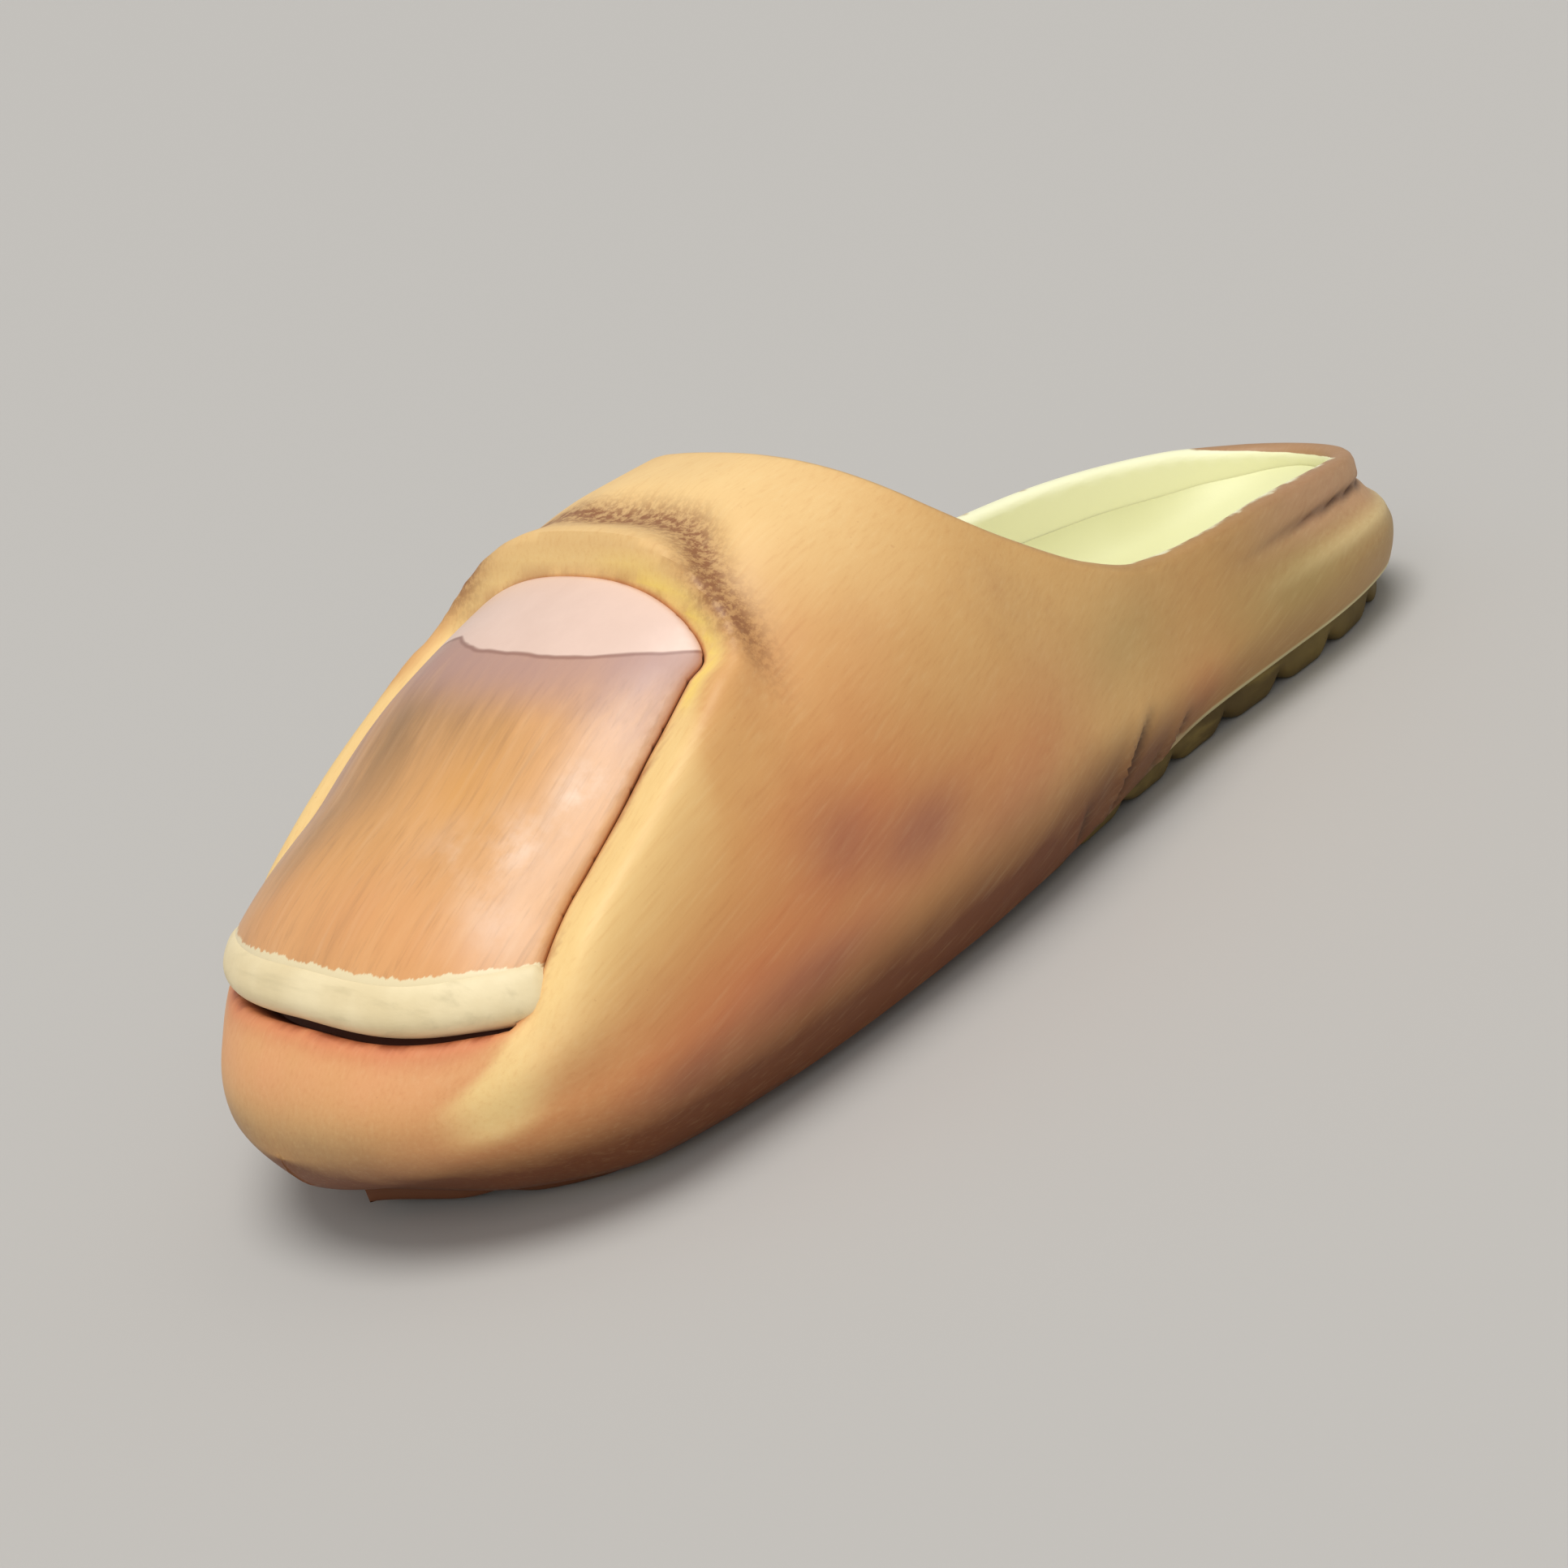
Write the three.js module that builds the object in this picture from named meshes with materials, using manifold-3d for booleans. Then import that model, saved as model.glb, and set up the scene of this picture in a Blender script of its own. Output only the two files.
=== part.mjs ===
import * as THREE from 'three';
import { LoftGeometry } from 'three/addons/geometries/LoftGeometry.js';
import { mergeVertices } from 'three/addons/utils/BufferGeometryUtils.js';
import Module from 'manifold-3d';

const wasm = await Module();
wasm.setup();

// A slip-on foam slipper shaped like a big toe, for the left foot.
// Millimetres. The toe points to -Y, the wearer's left is +X and the floor is Z = 0.

// Main sizes of the last.
const LENGTH = 290;
const BALL_WIDTH = 118;
const HEEL_WIDTH = 75;
const INSTEP_HEIGHT = 95;
const RIM_HEIGHT = 43;
const BELLY_HEIGHT = 27;
const SEAM_HEIGHT = 8;
const TOE_TIP_HEIGHT = 20;

// Wall of the upper, and the gap between pieces that lie on each other.
const TOE_WALL = 12;
const VAULT_WALL = 8;
const HEEL_WALL = 5.5;
const FIT_GAP = 0.3;

// Relief of the skin: heel band, folds of skin round the nail, trough behind them.
const HEEL_LEAN = 4.6;
const HEEL_TUCK = 1.2;
const GROOVE_DEPTH = 1.1;
const HEEL_RIDGE = 0.5;
const SIDE_FOLD_HEIGHT = 1.6;
const BACK_FOLD_HEIGHT = 2.8;
const FOLD_WIDTH = 5;
const TROUGH_DEPTH = 2.6;
const TROUGH_DISTANCE = 15;
const TROUGH_CORNER_DISTANCE = 9;
const TROUGH_SPREAD = 5.5;

// Nail: its plate lies below the skin, and its free edge is a thick roll over a slit.
const NAIL_THICKNESS = 2.5;
const NAIL_RECESS = 3.8;
const NAIL_TIP_RECESS = -1.6;
const NAIL_LIP = 1.5;
const TIP_LENGTH = 9.6;
const TIP_THICKNESS = 8;
const TIP_SINK = 1.4;
const TIP_END_SINK = 2.6;
const TIP_OVERRUN = 1;
const PLATE_SETBACK = 2;
const SLIT_WIDTH = 2.6;
const SLIT_DEPTH = 9;
const SLIT_SINK = 1.6;

// Footbed: heights above the floor, and the rise of its cup at the wall.
const HEEL_BED_HEIGHT = 21;
const ARCH_BED_HEIGHT = 24;
const BALL_BED_HEIGHT = 17;
const HEEL_CUP_RISE = 10;
const FORE_CUP_RISE = 5;

// Outsole: how far it stands in from the edge above it, and its cross lugs.
const SOLE_INSET = 4;
const SOLE_RAKE = 1.6;
const LUG_PITCH = 18.5;
const LUG_START = 5.5;
const LUG_NOTCH = 0.38;
const LUG_LAND = 0.45;
const RAKE_HEIGHT = 0.45;
const FORE_INSET = 0.5;
const NOTCH_POWER = 1.7;
const ARCH_LIFT = 0.8;
const SOLE_END_LIFT = 1.2;

// Finish of each piece.
const FINISHES = {
  upper: { color: 0xcda06a, roughness: 0.55 },
  nail_plate: { color: 0xb98a5c, roughness: 0.35 },
  nail_tip: { color: 0xe1d7b4, roughness: 0.6 },
  footbed: { color: 0xebeeb4, roughness: 0.6 },
  outsole: { color: 0x5a4b1e, roughness: 0.75 },
};

// Sections of the skin from the tip of the toe to the back of the heel, as shares.
// at: of the length. left, right: of the local half width. crown: of the instep height.
// belly: height of the widest place, of the belly height. edge: bottom edge, of the seam height.
// tuck: how far the bottom edge lies in, of the half width. power: squareness of the arch.
const SECTION_NAMES = ['at', 'left', 'right', 'crown', 'belly', 'edge', 'tuck', 'power'];
const SECTIONS = table(SECTION_NAMES, [
  [0.000, 0.000, 0.000, 0.000, 0.000, 0.000, 0.50, 2.05],
  [0.012, 0.385, 0.340, 0.340, 0.830, 1.550, 0.50, 2.16],
  [0.040, 0.635, 0.575, 0.438, 0.835, 0.940, 0.44, 2.18],
  [0.085, 0.855, 0.795, 0.568, 0.895, 0.600, 0.32, 2.26],
  [0.150, 0.985, 0.950, 0.703, 0.950, 0.430, 0.22, 2.34],
  [0.240, 1.000, 1.000, 0.855, 0.980, 0.400, 0.17, 2.36],
  [0.330, 0.980, 0.985, 0.932, 0.990, 0.430, 0.15, 2.52],
  [0.410, 0.945, 0.950, 0.978, 1.005, 0.460, 0.15, 2.62],
  [0.480, 0.905, 0.905, 0.980, 1.010, 0.500, 0.16, 2.70],
  [0.550, 0.895, 0.900, 0.965, 0.955, 0.620, 0.15, 2.60],
  [0.620, 0.945, 0.960, 0.930, 0.830, 0.820, 0.15, 2.70],
  [0.700, 0.990, 1.000, 0.865, 0.735, 0.960, 0.14, 3.10],
  [0.780, 0.985, 1.000, 0.800, 0.690, 1.000, 0.13, 4.00],
  [0.860, 0.920, 0.935, 0.800, 0.660, 1.000, 0.12, 4.80],
  [0.930, 0.765, 0.780, 0.800, 0.650, 1.000, 0.12, 5.00],
  [0.980, 0.445, 0.450, 0.800, 0.650, 1.000, 0.12, 5.00],
  [1.000, 0.000, 0.000, 0.800, 0.650, 1.000, 0.12, 5.00],
]);

// Side view of the collar. rim: share of the rim height.
// climb: share of the way from the rim height up to the instep height.
const COLLAR = table(['at', 'rim', 'climb'], [
  [0.380, 1.00, 1.60],
  [0.430, 1.00, 1.14],
  [0.459, 1.00, 0.96],
  [0.500, 1.00, 0.69],
  [0.552, 1.00, 0.43],
  [0.603, 1.00, 0.225],
  [0.655, 1.00, 0.085],
  [0.714, 1.00, 0.015],
  [0.800, 0.97, 0.00],
  [0.900, 0.87, 0.00],
  [1.000, 0.73, 0.00],
]);

// Plan of the nail, from its free edge to its back corners, as shares: at of the length,
// left and right of the ball's half width.
const NAIL = table(['at', 'left', 'right'], [
  [0.106, 0.815, 0.805],
  [0.150, 0.795, 0.785],
  [0.200, 0.780, 0.770],
  [0.250, 0.740, 0.730],
  [0.290, 0.695, 0.690],
]);
const NAIL_BACK_AT = 0.325;
const NAIL_TIP_AT = 0.051;
const NAIL_BACK_POWER = 5;
const NAIL_BACK_BOW = 0.25;
const NAIL_TIP_POWER = 2.2;
// Share of the half width at which the folds run on in front of the nail.
const FOLD_LINE = 0.915;

// Footbed from toe to heel: the share of the way from the ball's height to the arch's,
// and the share of the way from there to the heel's.
const BED = table(['at', 'arch', 'heel'], [
  [0.00, 0.00, 0],
  [0.20, 0.00, 0],
  [0.40, 0.55, 0],
  [0.60, 1.00, 0],
  [0.78, 1.00, 1],
  [0.92, 1.00, 1],
  [1.00, 1.00, 1],
]);
const HEEL_CENTRE_AT = 0.84;
const CUP_POWER = 3;
const CUP_LIMIT = 1.1;

// Where the width, the wall and the relief change along the length.
const WAIST_FROM = 0.45;
const WAIST_TO = 0.75;
const TOE_WALL_FROM = 0.3;
const TOE_WALL_TO = 0.42;
const HEEL_WALL_TO = 0.7;
const COLLAR_TILT = 0.04;
const LEAN_FROM = 0.7;
const LEAN_TO = 0.92;
const GROOVE_FROM = 0.82;
const GROOVE_TO = 0.93;
const FOLD_FADE_FROM = 0.01;
const FOLD_FADE_TO = 0.09;
const NAIL_RISE_TO = 0.17;
const TROUGH_MIDDLE = 0.4;
const TROUGH_CORNER = 1.1;

// Underside of the outsole: where it leaves the floor, as shares of the length.
const TOE_CONTACT_EDGE = 0.45;
const SPRING_FROM = 0.2;
const SPRING_TO = 0.05;
const ARCH_FROM = 0.38;
const ARCH_FULL_FROM = 0.5;
const ARCH_FULL_TO = 0.58;
const ARCH_TO = 0.68;
const HEEL_SPRING_FROM = 0.95;

// Heights on the heel, as shares of the way from the seam to the rim.
const HEEL_BELLY_LEVEL = 0.31;
const HEEL_BAND_LEVEL = 0.72;
const GROOVE_LEVEL = 0.71;
const RIDGE_LEVEL = 0.6;
const GROOVE_SPREAD = 0.05;

// Fineness of the curved surfaces.
const RING_EVENNESS = 0.3;
const SKIN_RINGS = 58;
const SKIN_ARCH_STEPS = 17;
const LINING_RINGS = 36;
const LINING_ARCH_STEPS = 9;
const NAIL_RINGS = 36;
const NAIL_ARCH_STEPS = 8;
const SIDE_STEPS = 3;
const COLLAR_STEPS = 36;
const BED_STATIONS = 26;
const BED_COLUMNS = 12;
const NAIL_EDGE_STEPS = 14;
const TIP_STATIONS = 16;
const TIP_SIDES = 10;
const OUTLINE_STATIONS = 26;
const NOTCH_SHARES = [0, 0.09, 0.19, 0.28, 0.72, 0.81, 0.91];
const STATION_SPACING = 0.8;
const PROBE = 0.002;
const PROBE_LENGTH = 0.5;
const WELD = 1e-4;

// How far cutting shapes reach past the piece that they cut.
const CUT_MARGIN = 4;
const END_MARGIN = 0.02;
const LID_RISE = TOE_WALL + CUT_MARGIN;
const CUT_TOP = INSTEP_HEIGHT + LID_RISE + CUT_MARGIN;

function table(names, rows) {
  return rows.map((row) => Object.fromEntries(names.map((name, i) => [name, row[i]])));
}

function clamp(value, low, high) {
  return Math.min(Math.max(value, low), high);
}

function mix(a, b, share) {
  return a + (b - a) * share;
}

function ramp(from, to, value) {
  const u = clamp((value - from) / (to - from), 0, 1);
  return u * u * (3 - 2 * u);
}

function bell(offset) {
  return Math.exp(-offset * offset);
}

// Equal steps of the turn crowd the places at both ends, so that the ends come out round.
function turnOf(at) {
  return Math.acos(1 - 2 * clamp(at, 0, 1)) / Math.PI;
}

function placeOf(turn) {
  return (1 - Math.cos(Math.PI * turn)) / 2;
}

function shareAt(y) {
  return y / LENGTH + 0.5;
}

function lengthwise(at) {
  return (at - 0.5) * LENGTH;
}

// A smooth curve through the knots that never overshoots them.
function curveThrough(knots, values) {
  const last = knots.length - 1;
  const rises = [];
  for (let i = 0; i < last; i++) {
    rises.push((values[i + 1] - values[i]) / (knots[i + 1] - knots[i]));
  }
  const slopes = [rises[0]];
  for (let i = 1; i < last; i++) {
    const together = rises[i - 1] * rises[i] > 0;
    slopes.push(together ? 2 / (1 / rises[i - 1] + 1 / rises[i]) : 0);
  }
  slopes.push(rises[last - 1]);
  return (place) => {
    const x = clamp(place, knots[0], knots[last]);
    let i = 0;
    while (i < last - 1 && x > knots[i + 1]) {
      i++;
    }
    const span = knots[i + 1] - knots[i];
    const u = (x - knots[i]) / span;
    const v = 1 - u;
    const ends = values[i] * v * v * (1 + 2 * u) + values[i + 1] * u * u * (3 - 2 * u);
    return ends + span * u * v * (slopes[i] * v - slopes[i + 1] * u);
  };
}

function widthMix(at) {
  return mix(BALL_WIDTH, HEEL_WIDTH, ramp(WAIST_FROM, WAIST_TO, at)) / 2;
}

// Each column of the section table becomes a curve over the turn.
function sectionCurve(valueOf) {
  const curve = curveThrough(SECTIONS.map((row) => turnOf(row.at)), SECTIONS.map(valueOf));
  return (at) => curve(turnOf(at));
}

function heightFrom(row, height) {
  return row.at === 0 ? TOE_TIP_HEIGHT : height;
}

const leftHalf = sectionCurve((row) => row.left * widthMix(row.at));
const rightHalf = sectionCurve((row) => row.right * widthMix(row.at));
const crownHeight = sectionCurve((row) => heightFrom(row, row.crown * INSTEP_HEIGHT));
const bellyHeight = sectionCurve((row) => heightFrom(row, row.belly * BELLY_HEIGHT));
const edgeHeight = sectionCurve((row) => heightFrom(row, row.edge * SEAM_HEIGHT));
const tuckShare = sectionCurve((row) => row.tuck);
const archPower = sectionCurve((row) => row.power);
const collarHeight = curveThrough(
  COLLAR.map((row) => row.at),
  COLLAR.map((row) => row.rim * RIM_HEIGHT + row.climb * (INSTEP_HEIGHT - RIM_HEIGHT)),
);

function halfWidth(at, side) {
  return side > 0 ? leftHalf(at) : rightHalf(at);
}

function wallThickness(at) {
  const vaulted = mix(TOE_WALL, VAULT_WALL, ramp(TOE_WALL_FROM, TOE_WALL_TO, at));
  return mix(vaulted, HEEL_WALL, ramp(WAIST_FROM, HEEL_WALL_TO, at));
}

// A point of the plain skin. The level runs from -1 at the bottom edge, over 0 at the
// widest place, to 1 at the crown.
function plainSkin(turn, side, level) {
  const at = placeOf(turn);
  const half = halfWidth(at, side);
  const belly = bellyHeight(at);
  if (level < 0) {
    const x = half * (1 - tuckShare(at) * level * level);
    return new THREE.Vector3(side * x, lengthwise(at), belly + (belly - edgeHeight(at)) * level);
  }
  const lift = Math.sin(level * Math.PI / 2);
  const power = archPower(at);
  const x = level >= 1 ? 0 : half * (1 - lift ** power) ** (1 / power);
  return new THREE.Vector3(side * x, lengthwise(at), mix(belly, crownHeight(at), lift));
}

function skinNormal(turn, side, level) {
  if (turn <= 0 || turn >= 1) {
    return new THREE.Vector3(0, turn <= 0 ? -1 : 1, 0);
  }
  const t = clamp(turn, 2 * PROBE, 1 - 2 * PROBE);
  const s = clamp(level, -1 + PROBE, 1 - PROBE);
  const along = plainSkin(t + PROBE, side, s).sub(plainSkin(t - PROBE, side, s));
  const around = plainSkin(t, side, s + PROBE).sub(plainSkin(t, side, s - PROBE));
  const normal = along.cross(around).multiplyScalar(side);
  if (level >= 1) {
    normal.x = 0;
  }
  return normal.normalize();
}

// Height of the plain skin over a point of the plan.
function skinHeight(x, y) {
  const at = shareAt(y);
  const power = archPower(at);
  const reach = Math.min(Math.abs(x) / halfWidth(at, x), 1);
  return mix(bellyHeight(at), crownHeight(at), (1 - reach ** power) ** (1 / power));
}

// Plan of the nail. A place on its left side has a positive x.
const nailLeft = curveThrough(NAIL.map((row) => row.at), NAIL.map((row) => row.left * BALL_WIDTH / 2));
const nailRight = curveThrough(NAIL.map((row) => row.at), NAIL.map((row) => row.right * BALL_WIDTH / 2));
const NAIL_FRONT_AT = NAIL[0].at;
const NAIL_CORNER_AT = NAIL[NAIL.length - 1].at;

function nailHalf(at, side) {
  return side > 0 ? nailLeft(at) : nailRight(at);
}

function nailBackY(x) {
  const reach = Math.min(Math.abs(x) / nailHalf(NAIL_CORNER_AT, x), 1);
  const round = 1 - (1 - reach ** NAIL_BACK_POWER) ** (1 / NAIL_BACK_POWER);
  return lengthwise(mix(NAIL_BACK_AT, NAIL_CORNER_AT, mix(round, reach * reach, NAIL_BACK_BOW)));
}

function nailTipY(x) {
  const reach = Math.abs(x) / nailHalf(NAIL_FRONT_AT, x);
  return lengthwise(mix(NAIL_TIP_AT, NAIL_FRONT_AT, reach ** NAIL_TIP_POWER));
}

// Relief that only the outside shows: the heel's groove and ridge, the folds of skin
// beside and behind the nail, and the trough behind those folds.
function heelLevel(at, z) {
  return (z - SEAM_HEIGHT) / (collarHeight(at) - SEAM_HEIGHT);
}

function heelLean(at, z, normal) {
  const level = heelLevel(at, z);
  const lean = HEEL_LEAN * ramp(HEEL_BELLY_LEVEL, HEEL_BAND_LEVEL, level) * ramp(LEAN_FROM, LEAN_TO, at);
  const back = at > 0.5 ? Math.max(normal.y, 0) ** 2 : 0;
  const tuck = HEEL_TUCK * (1 - ramp(0, HEEL_BELLY_LEVEL, level)) * back;
  return -lean - tuck;
}

function heelRelief(at, z) {
  const level = heelLevel(at, z);
  const groove = GROOVE_DEPTH * bell((level - GROOVE_LEVEL) / GROOVE_SPREAD);
  const ridge = HEEL_RIDGE * bell((level - RIDGE_LEVEL) / GROOVE_SPREAD);
  return (ridge - groove) * ramp(GROOVE_FROM, GROOVE_TO, at);
}

// How far the plate lies below the plain skin.
function nailDepth(at) {
  return mix(NAIL_TIP_RECESS, NAIL_RECESS, ramp(NAIL_TIP_AT, NAIL_RISE_TO, at));
}

// The skin dips towards the nail's outline and swells in a fold round it.
function nailRelief(x, y, half) {
  const at = shareAt(y);
  const foldLine = Math.min(nailHalf(at, x), FOLD_LINE * half);
  const beside = Math.abs(x) - foldLine;
  const behind = y - nailBackY(x);
  const inside = Math.min(Math.max(beside, behind), 0);
  const away = inside + Math.hypot(Math.max(beside, 0), Math.max(behind, 0));
  const height = mix(SIDE_FOLD_HEIGHT, BACK_FOLD_HEIGHT, ramp(-TROUGH_DISTANCE, FOLD_WIDTH, behind));
  const fold = height * bell(away / FOLD_WIDTH - 1) * ramp(FOLD_FADE_FROM, FOLD_FADE_TO, at);
  const dip = Math.max(nailDepth(at) - NAIL_LIP, 0) * ramp(FOLD_WIDTH, 0, away);
  const reach = Math.abs(x) / nailHalf(NAIL_CORNER_AT, x);
  const distance = mix(TROUGH_DISTANCE, TROUGH_CORNER_DISTANCE, ramp(TROUGH_MIDDLE, TROUGH_CORNER, reach));
  const trough = TROUGH_DEPTH * bell((away - distance) / TROUGH_SPREAD) * ramp(-TROUGH_DISTANCE, 0, behind);
  return fold - dip - trough;
}

// A point at a depth below the skin. With relief, it carries the relief of the outside.
function skinPoint(turn, side, level, depth, relief) {
  const point = plainSkin(turn, side, level);
  const normal = skinNormal(turn, side, level);
  const at = placeOf(turn);
  let rise = heelLean(at, point.z, normal) - depth;
  if (relief) {
    const half = halfWidth(at, side);
    rise += heelRelief(at, point.z) + (level > 0 ? nailRelief(point.x, point.y, half) : 0);
  }
  return point.addScaledVector(normal, rise);
}

// Level at which the skin passes a lid just over the collar.
function lidLevel(at) {
  const belly = bellyHeight(at);
  const rise = crownHeight(at) - belly;
  const share = rise > 0 ? (collarHeight(at) + LID_RISE - belly) / rise : 1;
  return Math.asin(clamp(share, 0, 1)) * 2 / Math.PI;
}

// One side of a section, from the bottom up. With drop, its foot goes straight down
// by that much past the bottom edge.
function sectionSide(turn, side, archSteps, depth, relief, drop) {
  const top = lidLevel(placeOf(turn));
  const levels = [];
  for (let i = SIDE_STEPS; i > 0; i--) {
    levels.push(-i / SIDE_STEPS);
  }
  for (let i = 0; i <= archSteps; i++) {
    levels.push(top * i / archSteps);
  }
  const points = levels.map((level) => skinPoint(turn, side, level, depth, relief));
  if (drop !== null) {
    const foot = points[0];
    foot.z = edgeHeight(shareAt(foot.y)) - drop;
  }
  return points;
}

// Turns of the rings, a little closer together in the middle, where a turn goes furthest.
function ringTurn(share) {
  return share + RING_EVENNESS * Math.sin(2 * Math.PI * share) / (2 * Math.PI);
}

// The body inside the skin at a depth, lofted through rings from toe to heel.
function skinBody({ rings, archSteps, depth, relief = false, drop = null }) {
  const sections = [];
  for (let i = 0; i <= rings; i++) {
    const turn = ringTurn(i / rings);
    const inset = depth(placeOf(turn));
    const right = sectionSide(turn, -1, archSteps, inset, relief, drop);
    const left = sectionSide(turn, 1, archSteps, inset, relief, drop);
    const lastRight = right[right.length - 1];
    const lastLeft = left[left.length - 1];
    const middle = new THREE.Vector3(0, (lastRight.y + lastLeft.y) / 2, (lastRight.z + lastLeft.z) / 2);
    sections.push([...right, middle, ...left.reverse()]);
  }
  return solidOf(new LoftGeometry(sections));
}

// A closed geometry as a solid that can be joined and cut.
function solidOf(geometry) {
  const bare = new THREE.BufferGeometry();
  bare.setAttribute('position', geometry.getAttribute('position'));
  if (geometry.index) {
    bare.setIndex(geometry.index);
  }
  const merged = mergeVertices(bare, WELD);
  const index = merged.index.array;
  const kept = [];
  for (let i = 0; i < index.length; i += 3) {
    const [a, b, c] = [index[i], index[i + 1], index[i + 2]];
    if (a !== b && b !== c && c !== a) {
      kept.push(a, b, c);
    }
  }
  return new wasm.Manifold(new wasm.Mesh({
    numProp: 3,
    vertProperties: new Float32Array(merged.attributes.position.array),
    triVerts: new Uint32Array(kept),
  }));
}

function meshOf(name, solid) {
  const { vertProperties, triVerts } = solid.getMesh();
  const geometry = new THREE.BufferGeometry();
  geometry.setAttribute('position', new THREE.BufferAttribute(vertProperties, 3));
  geometry.setIndex(new THREE.BufferAttribute(triVerts, 1));
  geometry.computeVertexNormals();
  const material = new THREE.MeshStandardMaterial({ metalness: 0, ...FINISHES[name] });
  const mesh = new THREE.Mesh(geometry, material);
  mesh.name = name;
  return mesh;
}

// Everything over the collar's side profile, right through the width.
function aboveCollar() {
  const first = COLLAR[0].at;
  const shape = new THREE.Shape();
  const back = lengthwise(1) + CUT_MARGIN;
  shape.moveTo(lengthwise(first), CUT_TOP + CUT_MARGIN);
  for (let i = 0; i <= COLLAR_STEPS; i++) {
    const at = mix(first, 1, i / COLLAR_STEPS);
    shape.lineTo(lengthwise(at), Math.min(collarHeight(at), CUT_TOP));
  }
  shape.lineTo(back, collarHeight(1));
  shape.lineTo(back, CUT_TOP + CUT_MARGIN);
  const width = BALL_WIDTH + 2 * CUT_MARGIN;
  const geometry = new THREE.ExtrudeGeometry(shape, { depth: width, bevelEnabled: false });
  geometry.translate(0, 0, -width / 2);
  const toSide = new THREE.Matrix4().makeBasis(
    new THREE.Vector3(0, 1, 0),
    new THREE.Vector3(0, 0, 1),
    new THREE.Vector3(1, 0, -COLLAR_TILT),
  );
  return solidOf(geometry.applyMatrix4(toSide));
}

// Lowest height that the plate reaches: its front corners end inside the roll's ends.
function plateFoot() {
  const y = lengthwise(NAIL_FRONT_AT);
  const corners = [-1, 1].map((side) => skinHeight(side * nailHalf(NAIL_FRONT_AT, side), y));
  return Math.min(...corners) - TIP_SINK - TIP_END_SINK;
}

// The nail's outline carried straight up, grown on all sides by a margin. It ends behind
// the free edge's middle line, under the roll.
function nailPrism(grow) {
  const shape = new THREE.Shape();
  const outline = [];
  for (let i = 0; i <= NAIL_EDGE_STEPS; i++) {
    const across = Math.cos(Math.PI * i / NAIL_EDGE_STEPS);
    const x = across * (nailHalf(NAIL_FRONT_AT, across) + grow);
    outline.push([x, nailTipY(x) + PLATE_SETBACK - grow]);
  }
  for (const row of NAIL.slice(1, -1)) {
    outline.push([-nailHalf(row.at, -1) - grow, lengthwise(row.at)]);
  }
  for (let i = 0; i <= NAIL_EDGE_STEPS; i++) {
    const across = -Math.cos(Math.PI * i / NAIL_EDGE_STEPS);
    const x = across * (nailHalf(NAIL_CORNER_AT, across) + grow);
    outline.push([x, nailBackY(x) + grow]);
  }
  for (const row of NAIL.slice(1, -1).reverse()) {
    outline.push([nailHalf(row.at, 1) + grow, lengthwise(row.at)]);
  }
  outline.forEach(([x, y], i) => (i ? shape.lineTo(x, y) : shape.moveTo(x, y)));
  const geometry = new THREE.ExtrudeGeometry(shape, { depth: CUT_TOP, bevelEnabled: false });
  return solidOf(geometry.translate(0, 0, plateFoot() - grow));
}

// Frame of the nail's free edge over a place across the toe: its point on the skin,
// outward over the skin, and forward along it.
function tipFrame(x) {
  const pointAt = (px) => new THREE.Vector3(px, nailTipY(px), skinHeight(px, nailTipY(px)));
  const point = pointAt(x);
  const along = pointAt(x + PROBE_LENGTH).sub(pointAt(x - PROBE_LENGTH)).normalize();
  const rise = (dx, dy) => skinHeight(x + dx, point.y + dy) - skinHeight(x - dx, point.y - dy);
  const climb = [rise(PROBE_LENGTH, 0), rise(0, PROBE_LENGTH)];
  const out = new THREE.Vector3(-climb[0], -climb[1], 2 * PROBE_LENGTH).normalize();
  const forward = new THREE.Vector3().crossVectors(along, out).normalize();
  return { point, out, forward };
}

// A roll with an oval section that follows the free edge. It sinks deeper at its ends.
function edgeRoll({ trim, shift, sink, length, thickness }) {
  const right = nailHalf(NAIL_FRONT_AT, -1) - trim;
  const left = nailHalf(NAIL_FRONT_AT, 1) - trim;
  const sections = [];
  for (let i = 0; i <= TIP_STATIONS; i++) {
    const x = mix(-right, left, i / TIP_STATIONS);
    const { point, out, forward } = tipFrame(x);
    const reach = Math.abs(x) / nailHalf(NAIL_FRONT_AT, x);
    const depth = sink + TIP_END_SINK * reach ** 3;
    point.addScaledVector(forward, shift).addScaledVector(out, -depth);
    const ring = [];
    for (let j = 0; j < TIP_SIDES; j++) {
      const angle = -2 * Math.PI * j / TIP_SIDES;
      const spot = point.clone().addScaledVector(forward, length / 2 * Math.cos(angle));
      ring.push(spot.addScaledVector(out, thickness / 2 * Math.sin(angle)));
    }
    sections.push(ring);
  }
  return solidOf(new LoftGeometry(sections, { capStart: true, capEnd: true }));
}

// The roll itself, grown on all sides. Its ends stop short of the nail's sides by the trim.
function tipRoll(grow, trim = TIP_SINK - grow) {
  return edgeRoll({
    trim,
    shift: 0,
    sink: TIP_SINK,
    length: TIP_LENGTH + 2 * grow,
    thickness: TIP_THICKNESS + 2 * grow,
  });
}

function tipSlit() {
  return edgeRoll({
    trim: TIP_SINK,
    shift: TIP_LENGTH / 2,
    sink: TIP_SINK + SLIT_SINK,
    length: SLIT_WIDTH,
    thickness: SLIT_DEPTH,
  });
}

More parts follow.
